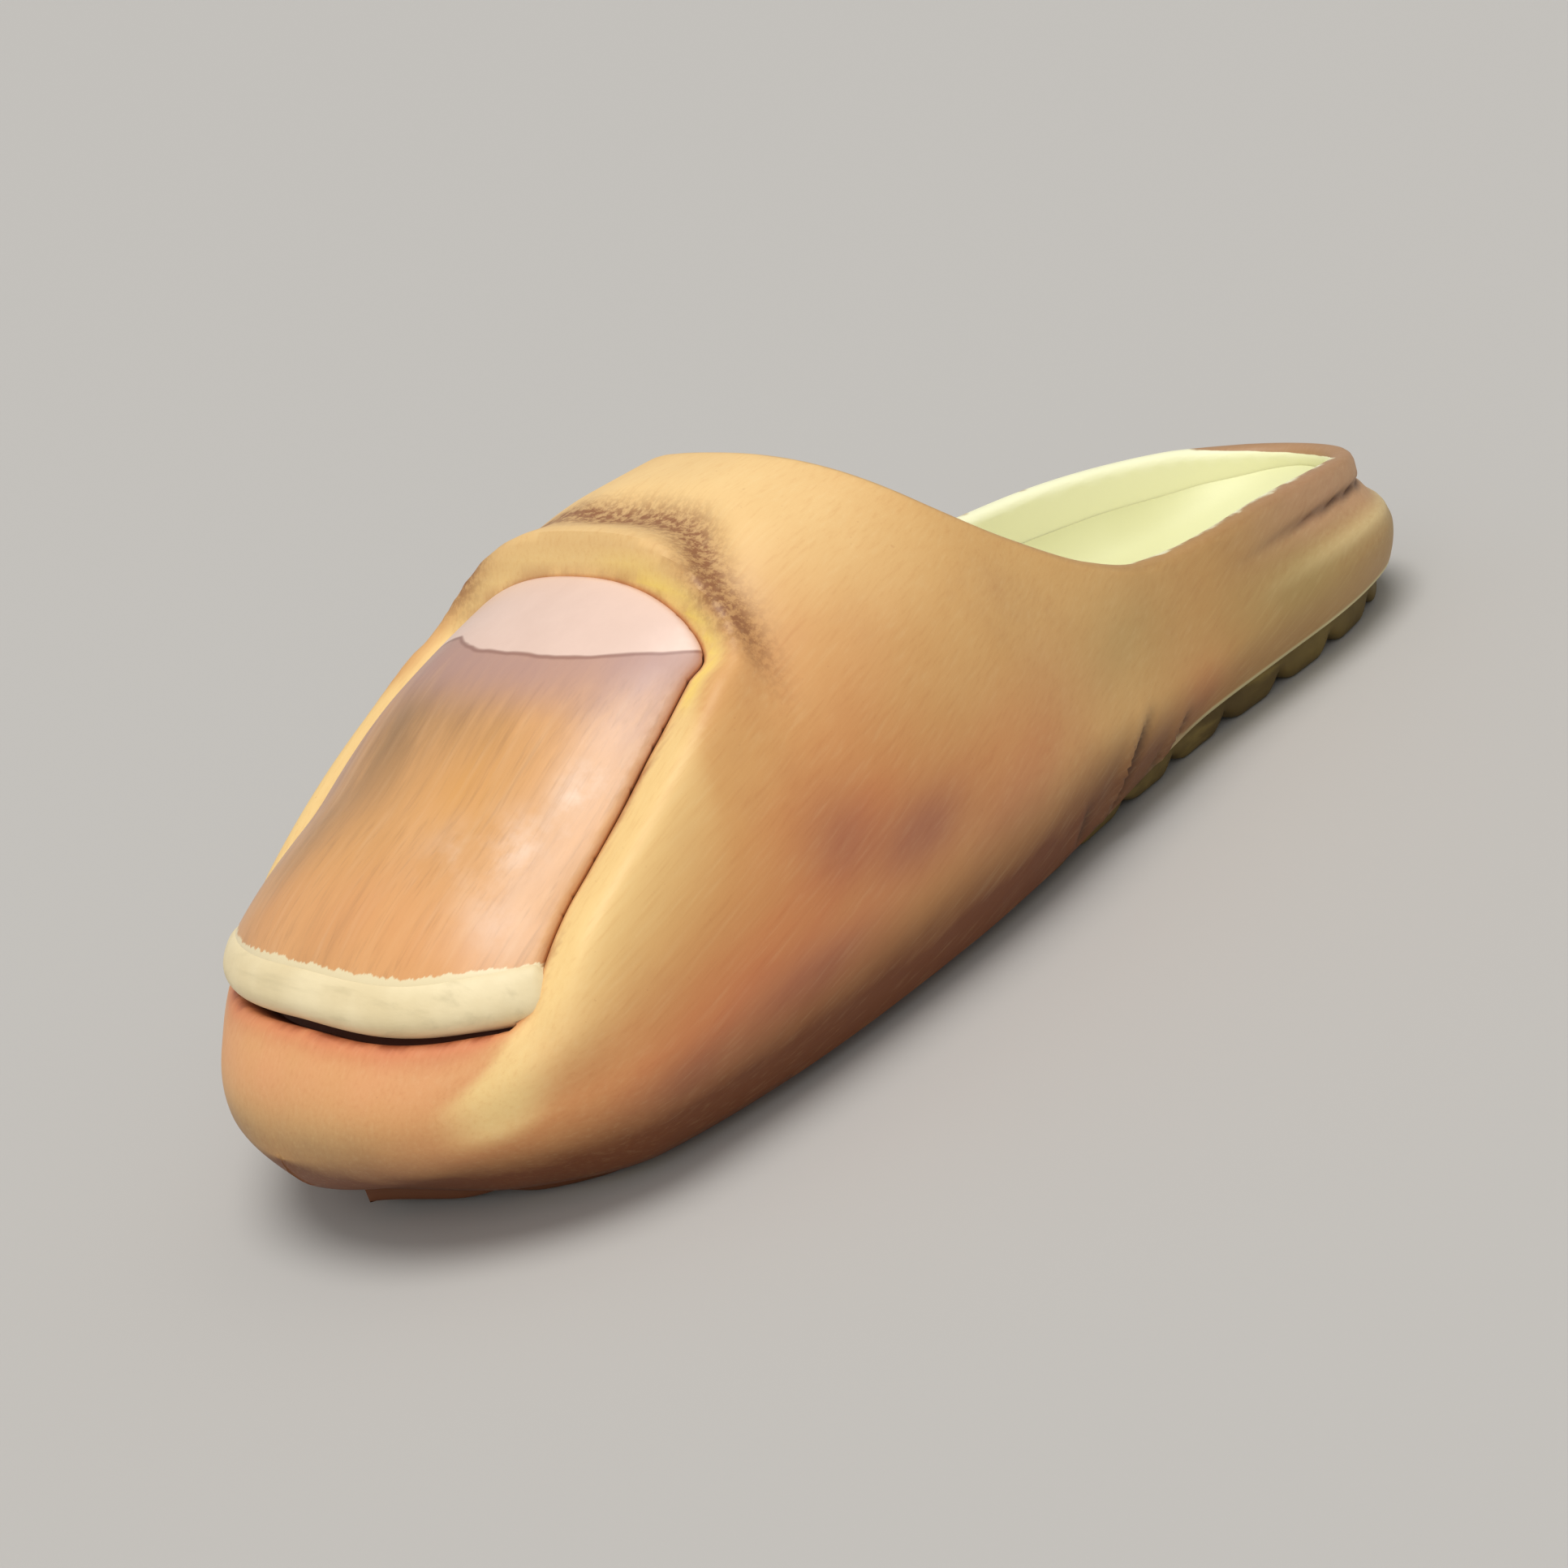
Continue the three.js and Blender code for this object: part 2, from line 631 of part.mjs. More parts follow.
function makeUpper() {
  const skin = skinBody({ rings: SKIN_RINGS, archSteps: SKIN_ARCH_STEPS, depth: () => 0, relief: true });
  const hollow = skinBody({
    rings: LINING_RINGS,
    archSteps: LINING_ARCH_STEPS,
    depth: wallThickness,
    drop: CUT_MARGIN,
  });
  const pocketFloor = skinBody({
    rings: NAIL_RINGS,
    archSteps: NAIL_ARCH_STEPS,
    depth: (at) => nailDepth(at) + NAIL_THICKNESS + FIT_GAP,
  });
  return skin
    .subtract(hollow)
    .subtract(aboveCollar())
    .subtract(nailPrism(FIT_GAP).subtract(pocketFloor))
    .subtract(tipRoll(FIT_GAP))
    .subtract(tipSlit());
}

function makeNailPlate() {
  const face = skinBody({ rings: NAIL_RINGS, archSteps: NAIL_ARCH_STEPS, depth: nailDepth });
  const under = skinBody({
    rings: NAIL_RINGS,
    archSteps: NAIL_ARCH_STEPS,
    depth: (at) => nailDepth(at) + NAIL_THICKNESS,
  });
  return face
    .subtract(under)
    .intersect(nailPrism(0))
    .subtract(tipRoll(FIT_GAP))
    .subtract(tipRoll(FIT_GAP, -TIP_OVERRUN));
}

// Height of the footbed's surface over a point of the plan.
const bedHeight = curveThrough(
  BED.map((row) => row.at),
  BED.map((row) => mix(mix(BALL_BED_HEIGHT, ARCH_BED_HEIGHT, row.arch), HEEL_BED_HEIGHT, row.heel)),
);

function bedSurface(x, at) {
  const wallAt = wallThickness(at);
  const widest = Math.min(at, HEEL_CENTRE_AT);
  const across = Math.abs(x) / (halfWidth(widest, x) - wallAt);
  const backRoom = lengthwise(1) - HEEL_WALL - lengthwise(HEEL_CENTRE_AT);
  const back = Math.max(lengthwise(at) - lengthwise(HEEL_CENTRE_AT), 0) / backRoom;
  const reach = Math.min(Math.hypot(across, back), CUP_LIMIT);
  const rise = mix(FORE_CUP_RISE, HEEL_CUP_RISE, ramp(WAIST_FROM, WAIST_TO, at));
  return bedHeight(at) + rise * reach ** CUP_POWER;
}

function aboveBed() {
  const sections = [];
  const half = BALL_WIDTH / 2 + CUT_MARGIN;
  for (let i = 0; i <= BED_STATIONS; i++) {
    const at = mix(-END_MARGIN, 1 + END_MARGIN, i / BED_STATIONS);
    const y = lengthwise(at);
    const place = clamp(at, END_MARGIN, 1 - END_MARGIN);
    const section = [
      new THREE.Vector3(-half, y, CUT_TOP),
      new THREE.Vector3(half, y, CUT_TOP),
    ];
    for (let j = 0; j <= BED_COLUMNS; j++) {
      const x = half * Math.cos(Math.PI * j / BED_COLUMNS);
      section.push(new THREE.Vector3(x, y, bedSurface(x, place)));
    }
    sections.push(section);
  }
  return solidOf(new LoftGeometry(sections, { capStart: true, capEnd: true }));
}

function makeFootbed() {
  const room = skinBody({
    rings: LINING_RINGS,
    archSteps: LINING_ARCH_STEPS,
    depth: (at) => wallThickness(at) + FIT_GAP,
    drop: 0,
  });
  return room.subtract(aboveBed());
}

// The outsole lies under the bottom edge, and its lugs run across it.
function notchAt(y) {
  const place = (lengthwise(1) - LUG_START - y) / LUG_PITCH;
  const off = Math.abs(place - Math.floor(place) - 0.5) * 2;
  return Math.max((off - LUG_LAND) / (1 - LUG_LAND), 0) ** NOTCH_POWER;
}

const SOLE_FRONT = lengthwise(0) + TOE_WALL;
const SOLE_BACK = lengthwise(1) - HEEL_TUCK - SOLE_INSET;

// Underside between the lugs' notches: flat under the ball and the heel, a little higher
// under the arch, and turned up at the toe and at the back.
function soleFloor(place) {
  const rise = Math.max(edgeHeight(place) - TOE_CONTACT_EDGE * SEAM_HEIGHT, 0);
  const toe = rise * ramp(SPRING_FROM, SPRING_TO, place);
  const arch = ARCH_LIFT * ramp(ARCH_FROM, ARCH_FULL_FROM, place) * ramp(ARCH_TO, ARCH_FULL_TO, place);
  return toe + arch + SOLE_END_LIFT * ramp(HEEL_SPRING_FROM, 1, place);
}

function soleSection(y) {
  const at = (y - SOLE_FRONT) / (SOLE_BACK - SOLE_FRONT);
  const place = shareAt(y);
  const top = edgeHeight(place) - FIT_GAP;
  const notch = notchAt(y);
  const bottom = mix(soleFloor(place), top, LUG_NOTCH * notch);
  const inset = SOLE_INSET * mix(FORE_INSET, 1, ramp(WAIST_FROM, WAIST_TO, place));
  const ring = [];
  for (const side of [-1, 1]) {
    const outline = halfWidth(at, side) * (1 - tuckShare(place)) * (1 - inset / widthMix(at));
    const foot = Math.max(outline - SOLE_RAKE * (1 + notch), outline / 2);
    const points = [
      new THREE.Vector3(side * foot, y, bottom),
      new THREE.Vector3(side * outline, y, mix(bottom, top, RAKE_HEIGHT)),
      new THREE.Vector3(side * outline, y, top),
    ];
    ring.push(...(side < 0 ? points : points.reverse()));
  }
  return ring;
}

function soleStations() {
  const stations = [];
  for (let i = 0; i <= OUTLINE_STATIONS; i++) {
    stations.push(mix(SOLE_FRONT, SOLE_BACK, placeOf(i / OUTLINE_STATIONS)));
  }
  const lugs = Math.ceil(LENGTH / LUG_PITCH);
  for (let i = 0; i < lugs; i++) {
    for (const share of NOTCH_SHARES) {
      const y = lengthwise(1) - LUG_START - (i + share) * LUG_PITCH;
      const clear = stations.every((station) => Math.abs(station - y) > STATION_SPACING);
      if (y > SOLE_FRONT && y < SOLE_BACK && clear) {
        stations.push(y);
      }
    }
  }
  return stations.sort((a, b) => a - b);
}

function makeOutsole() {
  return solidOf(new LoftGeometry(soleStations().map(soleSection)));
}

const slipper = new THREE.Group();
slipper.add(
  meshOf('upper', makeUpper()),
  meshOf('nail_plate', makeNailPlate()),
  meshOf('nail_tip', tipRoll(0)),
  meshOf('footbed', makeFootbed()),
  meshOf('outsole', makeOutsole()),
);

export default slipper;
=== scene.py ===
import math

import bmesh
import bpy
import numpy as np
from mathutils import Matrix, Vector


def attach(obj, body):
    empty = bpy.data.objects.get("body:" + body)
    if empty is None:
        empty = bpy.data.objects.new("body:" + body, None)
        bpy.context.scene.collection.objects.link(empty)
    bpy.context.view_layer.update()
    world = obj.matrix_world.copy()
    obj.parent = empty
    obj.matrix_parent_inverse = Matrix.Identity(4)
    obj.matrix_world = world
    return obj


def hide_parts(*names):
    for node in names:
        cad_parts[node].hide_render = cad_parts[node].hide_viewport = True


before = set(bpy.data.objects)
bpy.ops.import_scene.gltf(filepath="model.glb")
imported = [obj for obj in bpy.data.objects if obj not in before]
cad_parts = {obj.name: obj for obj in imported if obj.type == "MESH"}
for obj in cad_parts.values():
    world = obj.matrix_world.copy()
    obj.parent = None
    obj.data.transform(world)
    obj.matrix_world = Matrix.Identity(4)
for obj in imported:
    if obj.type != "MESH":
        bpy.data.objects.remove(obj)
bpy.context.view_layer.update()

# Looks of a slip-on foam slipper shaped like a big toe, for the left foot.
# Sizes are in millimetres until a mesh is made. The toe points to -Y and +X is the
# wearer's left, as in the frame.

MM = 0.001

# Main sizes of the last.
LENGTH = 290.0
BALL_WIDTH = 118.0
HEEL_WIDTH = 75.0
INSTEP_HEIGHT = 95.0
RIM_HEIGHT = 43.0
BELLY_HEIGHT = 27.0
SEAM_HEIGHT = 8.0
TOE_TIP_HEIGHT = 20.0
TOE_WALL = 12.0
VAULT_WALL = 8.0
HEEL_WALL = 5.5
FIT_GAP = 0.3

# Relief of the skin.
HEEL_LEAN = 4.6
HEEL_TUCK = 1.2
GROOVE_DEPTH = 1.3
HEEL_RIDGE = 0.6
SIDE_FOLD_HEIGHT = 1.6
BACK_FOLD_HEIGHT = 2.8
FOLD_WIDTH = 5.0
FOLD_POWER = 3
TROUGH_DEPTH = 2.6
FAR_TROUGH_SHARE = 0.1
FAR_TROUGH_REACH = 15.0
TROUGH_DISTANCE = 15.0
TROUGH_CORNER_DISTANCE = 6.5
TROUGH_SPREAD = 5.5
PAD_DIP = 1.0
PAD_EDGE = 1.4

# Nail, its roll of a free edge and the slit under it.
NAIL_THICKNESS = 2.5
NAIL_RECESS = 3.8
NAIL_TIP_RECESS = -1.6
NAIL_LIP = 0.5
TIP_LENGTH = 9.6
TIP_THICKNESS = 8.0
TIP_SINK = 1.4
TIP_END_SINK = 2.6
TIP_POWER = 2.5
TIP_END_GAP = 0.5
TIP_END_ROUND = 1.2
TIP_END_REACH = 0.8
TIP_END_SHRINK = 0.2
SLIT_END = 6.1
SLIT_DEPTH = 7.5
SLIT_ROUND = 2.6
SLIT_DROP = 1.1
POCKET_WALL = 0.35
POCKET_ROUND = 0.5
POCKET_ROUND_DROP = 0.3
PLATE_GAP = 0.35
PLATE_FRONT = 2.4
PLATE_ROUND = 1.5
PLATE_ROUND_DROP = 0.5
PLATE_ARCH = 0.6
PLATE_ARCH_REACH = 45.0
PLATE_LINES = (-0.2, -0.6, -PLATE_ROUND)
LUNULA_FRONT = -72.2
LUNULA_MIDDLE = 4.0
LUNULA_REACH = 45.0
LUNULA_BOW = 17.0
LUNULA_FAR_END = -0.5

# Rim of the collar.
RIM_ROUND = 2.2
RIM_LINES = (0.05, 0.4, 1.1, 2.2, 3.6)

# Footbed and outsole.
HEEL_BED_HEIGHT = 21.0
ARCH_BED_HEIGHT = 24.0
BALL_BED_HEIGHT = 17.0
HEEL_CUP_RISE = 10.0
FORE_CUP_RISE = 5.0
BED_FILLET = 7.0
BED_FILLET_RISE = 4.0
SOLE_INSET = 4.0
SOLE_RAKE = 1.6
LUG_PITCH = 18.5
LUG_START = 5.5
LUG_NOTCH = 0.38
LUG_LAND = 0.45
FORE_INSET = 1.5
NOTCH_POWER = 1.7
ARCH_LIFT = 0.8
SOLE_END_LIFT = 1.2
SOLE_EDGE_ROUND = 1.6
SOLE_EDGE_POWER = 2.6
SOLE_EDGE_SHARE = 0.62

# Fineness of the surfaces.
SKIN_RINGS = 236
SKIN_COLUMNS = 200
NAIL_RINGS = 150
NAIL_COLUMNS = 130
BAND_STATIONS = 150
BAND_SIDES = 48
BED_RINGS = 150
BED_COLUMNS = 60
BED_SIDE_STEPS = 8
SOLE_STATIONS = 330
SOLE_COLUMNS = 12
OUTLINE_STEPS = 60
SHARP_ANGLE = math.radians(50)

# Places where paint begins and ends.
STEP_SHIFT = 1.2
CRESCENT_SPREAD = 4.8
CRESCENT_END_AT = 0.308
CRESCENT_FULL_AT = 0.334
CREASE_FULL = 1.6
RIM_PAINT = 1.0
FAR_RIM_BARE = 0.2
FAR_RIM_REACH = 15.0
FORE_PAINT_FROM = 0.4
FORE_PAINT_TO = 0.55


def table(names, rows):
    """Rows of numbers as named columns."""
    return dict(zip(names, np.array(rows, float).T))


# Sections of the skin from the tip of the toe to the back of the heel, as shares of the
# length, the local half width, the instep, belly and seam heights.
SECTIONS = table(("at", "left", "right", "crown", "belly", "edge", "tuck", "power"), (
    (0.000, 0.000, 0.000, 0.000, 0.000, 0.000, 1.00, 2.05),
    (0.012, 0.385, 0.340, 0.340, 0.830, 1.550, 1.00, 2.16),
    (0.040, 0.635, 0.575, 0.438, 0.835, 0.940, 0.90, 2.18),
    (0.085, 0.855, 0.795, 0.568, 0.895, 0.600, 0.42, 2.26),
    (0.150, 0.985, 0.950, 0.703, 0.950, 0.430, 0.22, 2.34),
    (0.240, 1.000, 1.000, 0.855, 0.980, 0.400, 0.17, 2.36),
    (0.330, 0.980, 0.985, 0.932, 0.990, 0.430, 0.15, 2.52),
    (0.410, 0.945, 0.950, 0.978, 1.005, 0.460, 0.15, 2.62),
    (0.480, 0.905, 0.905, 0.980, 1.010, 0.500, 0.16, 2.70),
    (0.550, 0.895, 0.900, 0.965, 0.955, 0.620, 0.15, 2.60),
    (0.620, 0.945, 0.960, 0.930, 0.830, 0.820, 0.15, 2.70),
    (0.700, 0.990, 1.000, 0.865, 0.735, 0.960, 0.14, 3.10),
    (0.780, 0.985, 1.000, 0.800, 0.690, 1.000, 0.13, 4.00),
    (0.860, 0.920, 0.935, 0.800, 0.660, 1.000, 0.12, 4.80),
    (0.930, 0.765, 0.780, 0.800, 0.650, 1.000, 0.12, 5.00),
    (0.980, 0.445, 0.450, 0.800, 0.650, 1.000, 0.12, 5.00),
    (1.000, 0.000, 0.000, 0.800, 0.650, 1.000, 0.12, 5.00),
))

# Side view of the collar, as shares of the rim height and of the climb to the instep.
COLLAR = table(("at", "rim", "climb"), (
    (0.380, 1.00, 1.60),
    (0.430, 1.00, 1.14),
    (0.459, 1.00, 0.96),
    (0.500, 1.00, 0.69),
    (0.552, 1.00, 0.43),
    (0.603, 1.00, 0.225),
    (0.655, 1.00, 0.085),
    (0.714, 1.00, 0.015),
    (0.800, 0.97, 0.00),
    (0.900, 0.87, 0.00),
    (1.000, 0.73, 0.00),
))

# Plan of the nail, as shares of the length and of the ball's half width.
NAIL = table(("at", "left", "right"), (
    (0.106, 0.815, 0.805),
    (0.150, 0.795, 0.785),
    (0.200, 0.780, 0.770),
    (0.250, 0.740, 0.730),
    (0.290, 0.695, 0.690),
))
NAIL_BACK_AT = 0.325
NAIL_TIP_AT = 0.051
NAIL_BACK_POWER = 5
NAIL_BACK_BOW = 0.25
NAIL_TIP_POWER_LEFT = 3.1
NAIL_TIP_POWER_RIGHT = 2.4
FOLD_LINE = 0.915

# Footbed from toe to heel, as shares of the way from the ball's height to the arch's and
# from there to the heel's.
BED = table(("at", "arch", "heel"), (
    (0.00, 0.00, 0),
    (0.20, 0.00, 0),
    (0.40, 0.55, 0),
    (0.60, 1.00, 0),
    (0.78, 1.00, 1),
    (0.92, 1.00, 1),
    (1.00, 1.00, 1),
))
HEEL_CENTRE_AT = 0.84
CUP_POWER = 3
CUP_LIMIT = 1.1

# Where the width, the wall and the relief change along the length.
WAIST_FROM = 0.45
WAIST_TO = 0.75
TOE_WALL_FROM = 0.3
TOE_WALL_TO = 0.42
HEEL_WALL_TO = 0.7
COLLAR_TILT = 0.04
LEAN_FROM = 0.7
LEAN_TO = 0.92
GROOVE_FROM = 0.72
GROOVE_TO = 0.92
FOLD_FADE_FROM = 0.01
FOLD_FADE_TO = 0.09
NAIL_RISE_TO = 0.17
TROUGH_MIDDLE = 0.4
TROUGH_CORNER = 0.95
TOE_CONTACT_EDGE = 0.45
SPRING_FROM = 0.2
SPRING_TO = 0.05
ARCH_FROM = 0.38
ARCH_FULL_FROM = 0.5
ARCH_FULL_TO = 0.58
ARCH_TO = 0.68
HEEL_SPRING_FROM = 0.95
HEEL_BELLY_LEVEL = 0.31
HEEL_BAND_LEVEL = 0.72
GROOVE_LEVEL = 0.71
RIDGE_LEVEL = 0.47
GROOVE_SPREAD = 0.032
RIDGE_SPREAD = 0.06

# Creases pressed into the near side over the arch. Each runs from its foot to its top:
# places y and z of both ends, half width of the trough and its depth.
CREASES = table(("y0", "z0", "y1", "z1", "spread", "depth"), (
    (33.0, 1.0, 45.0, 11.0, 1.3, 2.2),
    (27.0, 1.0, 36.0, 9.0, 1.0, 0.9),
    (14.0, 1.0, 30.0, 17.0, 1.4, 1.7),
    (20.0, 6.0, 25.0, 14.0, 1.0, 0.8),
    (6.0, 2.0, 10.0, 11.0, 1.6, 0.8),
))
CREASE_FOOT = 1.5
CREASE_SIDE_HEIGHT = 0.5

# The grid over the skin and the cuts into it: step of a slope, share of an edge within
# which a place moves onto a cut, and distances that count as nothing.
PROBE = 0.002
SNAP = 0.22
ARCH_SHARE = 0.84
CROWN_SPREAD = 1.2
RING_EVENNESS = 0.3
STATION_EVENNESS = 0.6
NAIL_NEAR = 45.0
NAIL_GRID_REACH = 0.66
NAIL_GRID_MARGIN_FRONT = 0.012
NAIL_GRID_MARGIN_BACK = 0.01
ON_CUT = 1e-3
NOTHING = 1e-9
MERGE_DISTANCE = 5e-6


def mix(a, b, share):
    return a + (b - a) * share


def ramp(start, end, value):
    u = np.clip((value - start) / (end - start), 0, 1)
    return u * u * (3 - 2 * u)


def bell(offset):
    return np.exp(-offset * offset)


def turn_of(at):
    return np.arccos(1 - 2 * np.clip(at, 0, 1)) / math.pi


def place_of(turn):
    return (1 - np.cos(math.pi * turn)) / 2


def share_at(y):
    return y / LENGTH + 0.5


def lengthwise(at):
    return (at - 0.5) * LENGTH


def curve_through(knots, values):
    """A smooth curve through the knots that never overshoots them."""
    knots = np.asarray(knots, float)
    values = np.asarray(values, float)
    rises = np.diff(values) / np.diff(knots)
    product = rises[:-1] * rises[1:]
    total = np.where(product > 0, rises[:-1] + rises[1:], 1)
    inner = np.where(product > 0, 2 * product / total, 0)
    slopes = np.concatenate(([rises[0]], inner, [rises[-1]]))

    def curve(place):
        x = np.clip(place, knots[0], knots[-1])
        i = np.clip(np.searchsorted(knots, x) - 1, 0, len(knots) - 2)
        span = knots[i + 1] - knots[i]
        u = (x - knots[i]) / span
        v = 1 - u
        ends = values[i] * v * v * (1 + 2 * u) + values[i + 1] * u * u * (3 - 2 * u)
        return ends + span * u * v * (slopes[i] * v - slopes[i + 1] * u)

    return curve


def width_mix(at):
    return mix(BALL_WIDTH, HEEL_WIDTH, ramp(WAIST_FROM, WAIST_TO, at)) / 2


def section_curve(values):
    curve = curve_through(turn_of(SECTIONS["at"]), values)
    return lambda at: curve(turn_of(at))


def height_column(name, height):
    return np.where(SECTIONS["at"] == 0, TOE_TIP_HEIGHT, SECTIONS[name] * height)


left_half = section_curve(SECTIONS["left"] * width_mix(SECTIONS["at"]))
right_half = section_curve(SECTIONS["right"] * width_mix(SECTIONS["at"]))
crown_height = section_curve(height_column("crown", INSTEP_HEIGHT))
belly_height = section_curve(height_column("belly", BELLY_HEIGHT))
edge_height = section_curve(height_column("edge", SEAM_HEIGHT))
tuck_share = section_curve(SECTIONS["tuck"])
arch_power = section_curve(SECTIONS["power"])
collar_height = curve_through(
    COLLAR["at"], COLLAR["rim"] * RIM_HEIGHT + COLLAR["climb"] * (INSTEP_HEIGHT - RIM_HEIGHT)
)
nail_left = curve_through(NAIL["at"], NAIL["left"] * BALL_WIDTH / 2)
nail_right = curve_through(NAIL["at"], NAIL["right"] * BALL_WIDTH / 2)
bed_height = curve_through(BED["at"], mix(
    mix(BALL_BED_HEIGHT, ARCH_BED_HEIGHT, BED["arch"]), HEEL_BED_HEIGHT, BED["heel"]
))
NAIL_FRONT_AT = NAIL["at"][0]
NAIL_CORNER_AT = NAIL["at"][-1]


def half_width(at, side):
    return np.where(side > 0, left_half(at), right_half(at))


def nail_half(at, side):
    return np.where(side > 0, nail_left(at), nail_right(at))


def wall_thickness(at):
    vaulted = mix(TOE_WALL, VAULT_WALL, ramp(TOE_WALL_FROM, TOE_WALL_TO, at))
    return mix(vaulted, HEEL_WALL, ramp(WAIST_FROM, HEEL_WALL_TO, at))


def plain_skin(turn, side, level):
    """Points of the plain skin. The level runs from -1 at the bottom edge, over 0 at the
    widest place, to 1 at the crown."""
    at = place_of(turn)
    half = half_width(at, side)
    belly = belly_height(at)
    lift = np.sin(np.clip(level, 0, 1) * math.pi / 2)
    power = arch_power(at)
    over = half * np.clip(1 - lift ** power, 0, 1) ** (1 / power)
    under = half * (1 - tuck_share(at) * level * level)
    x = side * np.where(level < 0, under, over)
    z_under = belly + (belly - edge_height(at)) * level
    z = np.where(level < 0, z_under, mix(belly, crown_height(at), lift))
    return np.stack((x, lengthwise(at), z), axis=-1)


def skin_normal(turn, side, level):
    t = np.clip(turn, 2 * PROBE, 1 - 2 * PROBE)
    s = np.clip(level, -1 + PROBE, 1 - PROBE)
    along = plain_skin(t + PROBE, side, s) - plain_skin(t - PROBE, side, s)
    around = plain_skin(t, side, s + PROBE) - plain_skin(t, side, s - PROBE)
    normal = np.cross(along, around) * side[:, None]
    normal[level >= 1, 0] = 0
    normal[turn <= 0] = (0, -1, 0)
    normal[turn >= 1] = (0, 1, 0)
    return normal / np.linalg.norm(normal, axis=1, keepdims=True)


def skin_height(x, y):
    at = share_at(y)
    power = arch_power(at)
    reach = np.minimum(np.abs(x) / half_width(at, x), 1)
    arch = (1 - reach ** power) ** (1 / power)
    return mix(belly_height(at), crown_height(at), arch)


def nail_back_y(x):
    reach = np.minimum(np.abs(x) / nail_half(NAIL_CORNER_AT, x), 1)
    rounded = 1 - (1 - reach ** NAIL_BACK_POWER) ** (1 / NAIL_BACK_POWER)
    share = mix(rounded, reach * reach, NAIL_BACK_BOW)
    return lengthwise(mix(NAIL_BACK_AT, NAIL_CORNER_AT, share))


def nail_tip_y(x):
    power = np.where(x > 0, NAIL_TIP_POWER_LEFT, NAIL_TIP_POWER_RIGHT)
    reach = np.abs(x) / nail_half(NAIL_FRONT_AT, x)
    return lengthwise(mix(NAIL_TIP_AT, NAIL_FRONT_AT, reach ** power))


def nail_depth(at):
    return mix(NAIL_TIP_RECESS, NAIL_RECESS, ramp(NAIL_TIP_AT, NAIL_RISE_TO, at))


def tip_frame(x):
    """The free edge's point on the skin, outward over the skin and forward along it."""
    probe = 0.5

    def point_at(px):
        y = nail_tip_y(px)
        return np.stack((px, y, skin_height(px, y)), axis=-1)

    point = point_at(x)
    along = point_at(x + probe) - point_at(x - probe)
    along /= np.linalg.norm(along, axis=1, keepdims=True)
    y = point[:, 1]
    climb_x = skin_height(x + probe, y) - skin_height(x - probe, y)
    climb_y = skin_height(x, y + probe) - skin_height(x, y - probe)
    out = np.stack((-climb_x, -climb_y, np.full_like(x, 2 * probe)), axis=-1)
    out /= np.linalg.norm(out, axis=1, keepdims=True)
    forward = np.cross(along, out)
    return point, out, forward / np.linalg.norm(forward, axis=1, keepdims=True)


def fold_line(at, side):
    return np.minimum(nail_half(at, side), FOLD_LINE * half_width(at, side))


def nail_outline():
    """Plan of the line where the folds of skin meet the nail, open at the toe's tip."""
    steps = np.linspace(0, 1, OUTLINE_STEPS)
    at = NAIL_CORNER_AT * steps
    sides = {}
    for side in (1.0, -1.0):
        x = side * fold_line(at, np.full_like(at, side))
        sides[side] = np.stack((x, lengthwise(at)), axis=-1)
    across = np.cos(math.pi * steps)[1:-1]
    x = across * nail_half(NAIL_CORNER_AT, across)
    back = np.stack((x, nail_back_y(x)), axis=-1)
    return np.concatenate((sides[1.0], back, sides[-1.0][::-1]))


def distance_to(outline, points):
    closest = np.full(len(points), np.inf)
    for start, end in zip(outline[:-1], outline[1:]):
        run = end - start
        off = points - start
        share = np.clip(off @ run / (run @ run), 0, 1)
        closest = np.minimum(closest, ((off - share[:, None] * run) ** 2).sum(1))
    return np.sqrt(closest)


NAIL_OUTLINE = nail_outline()


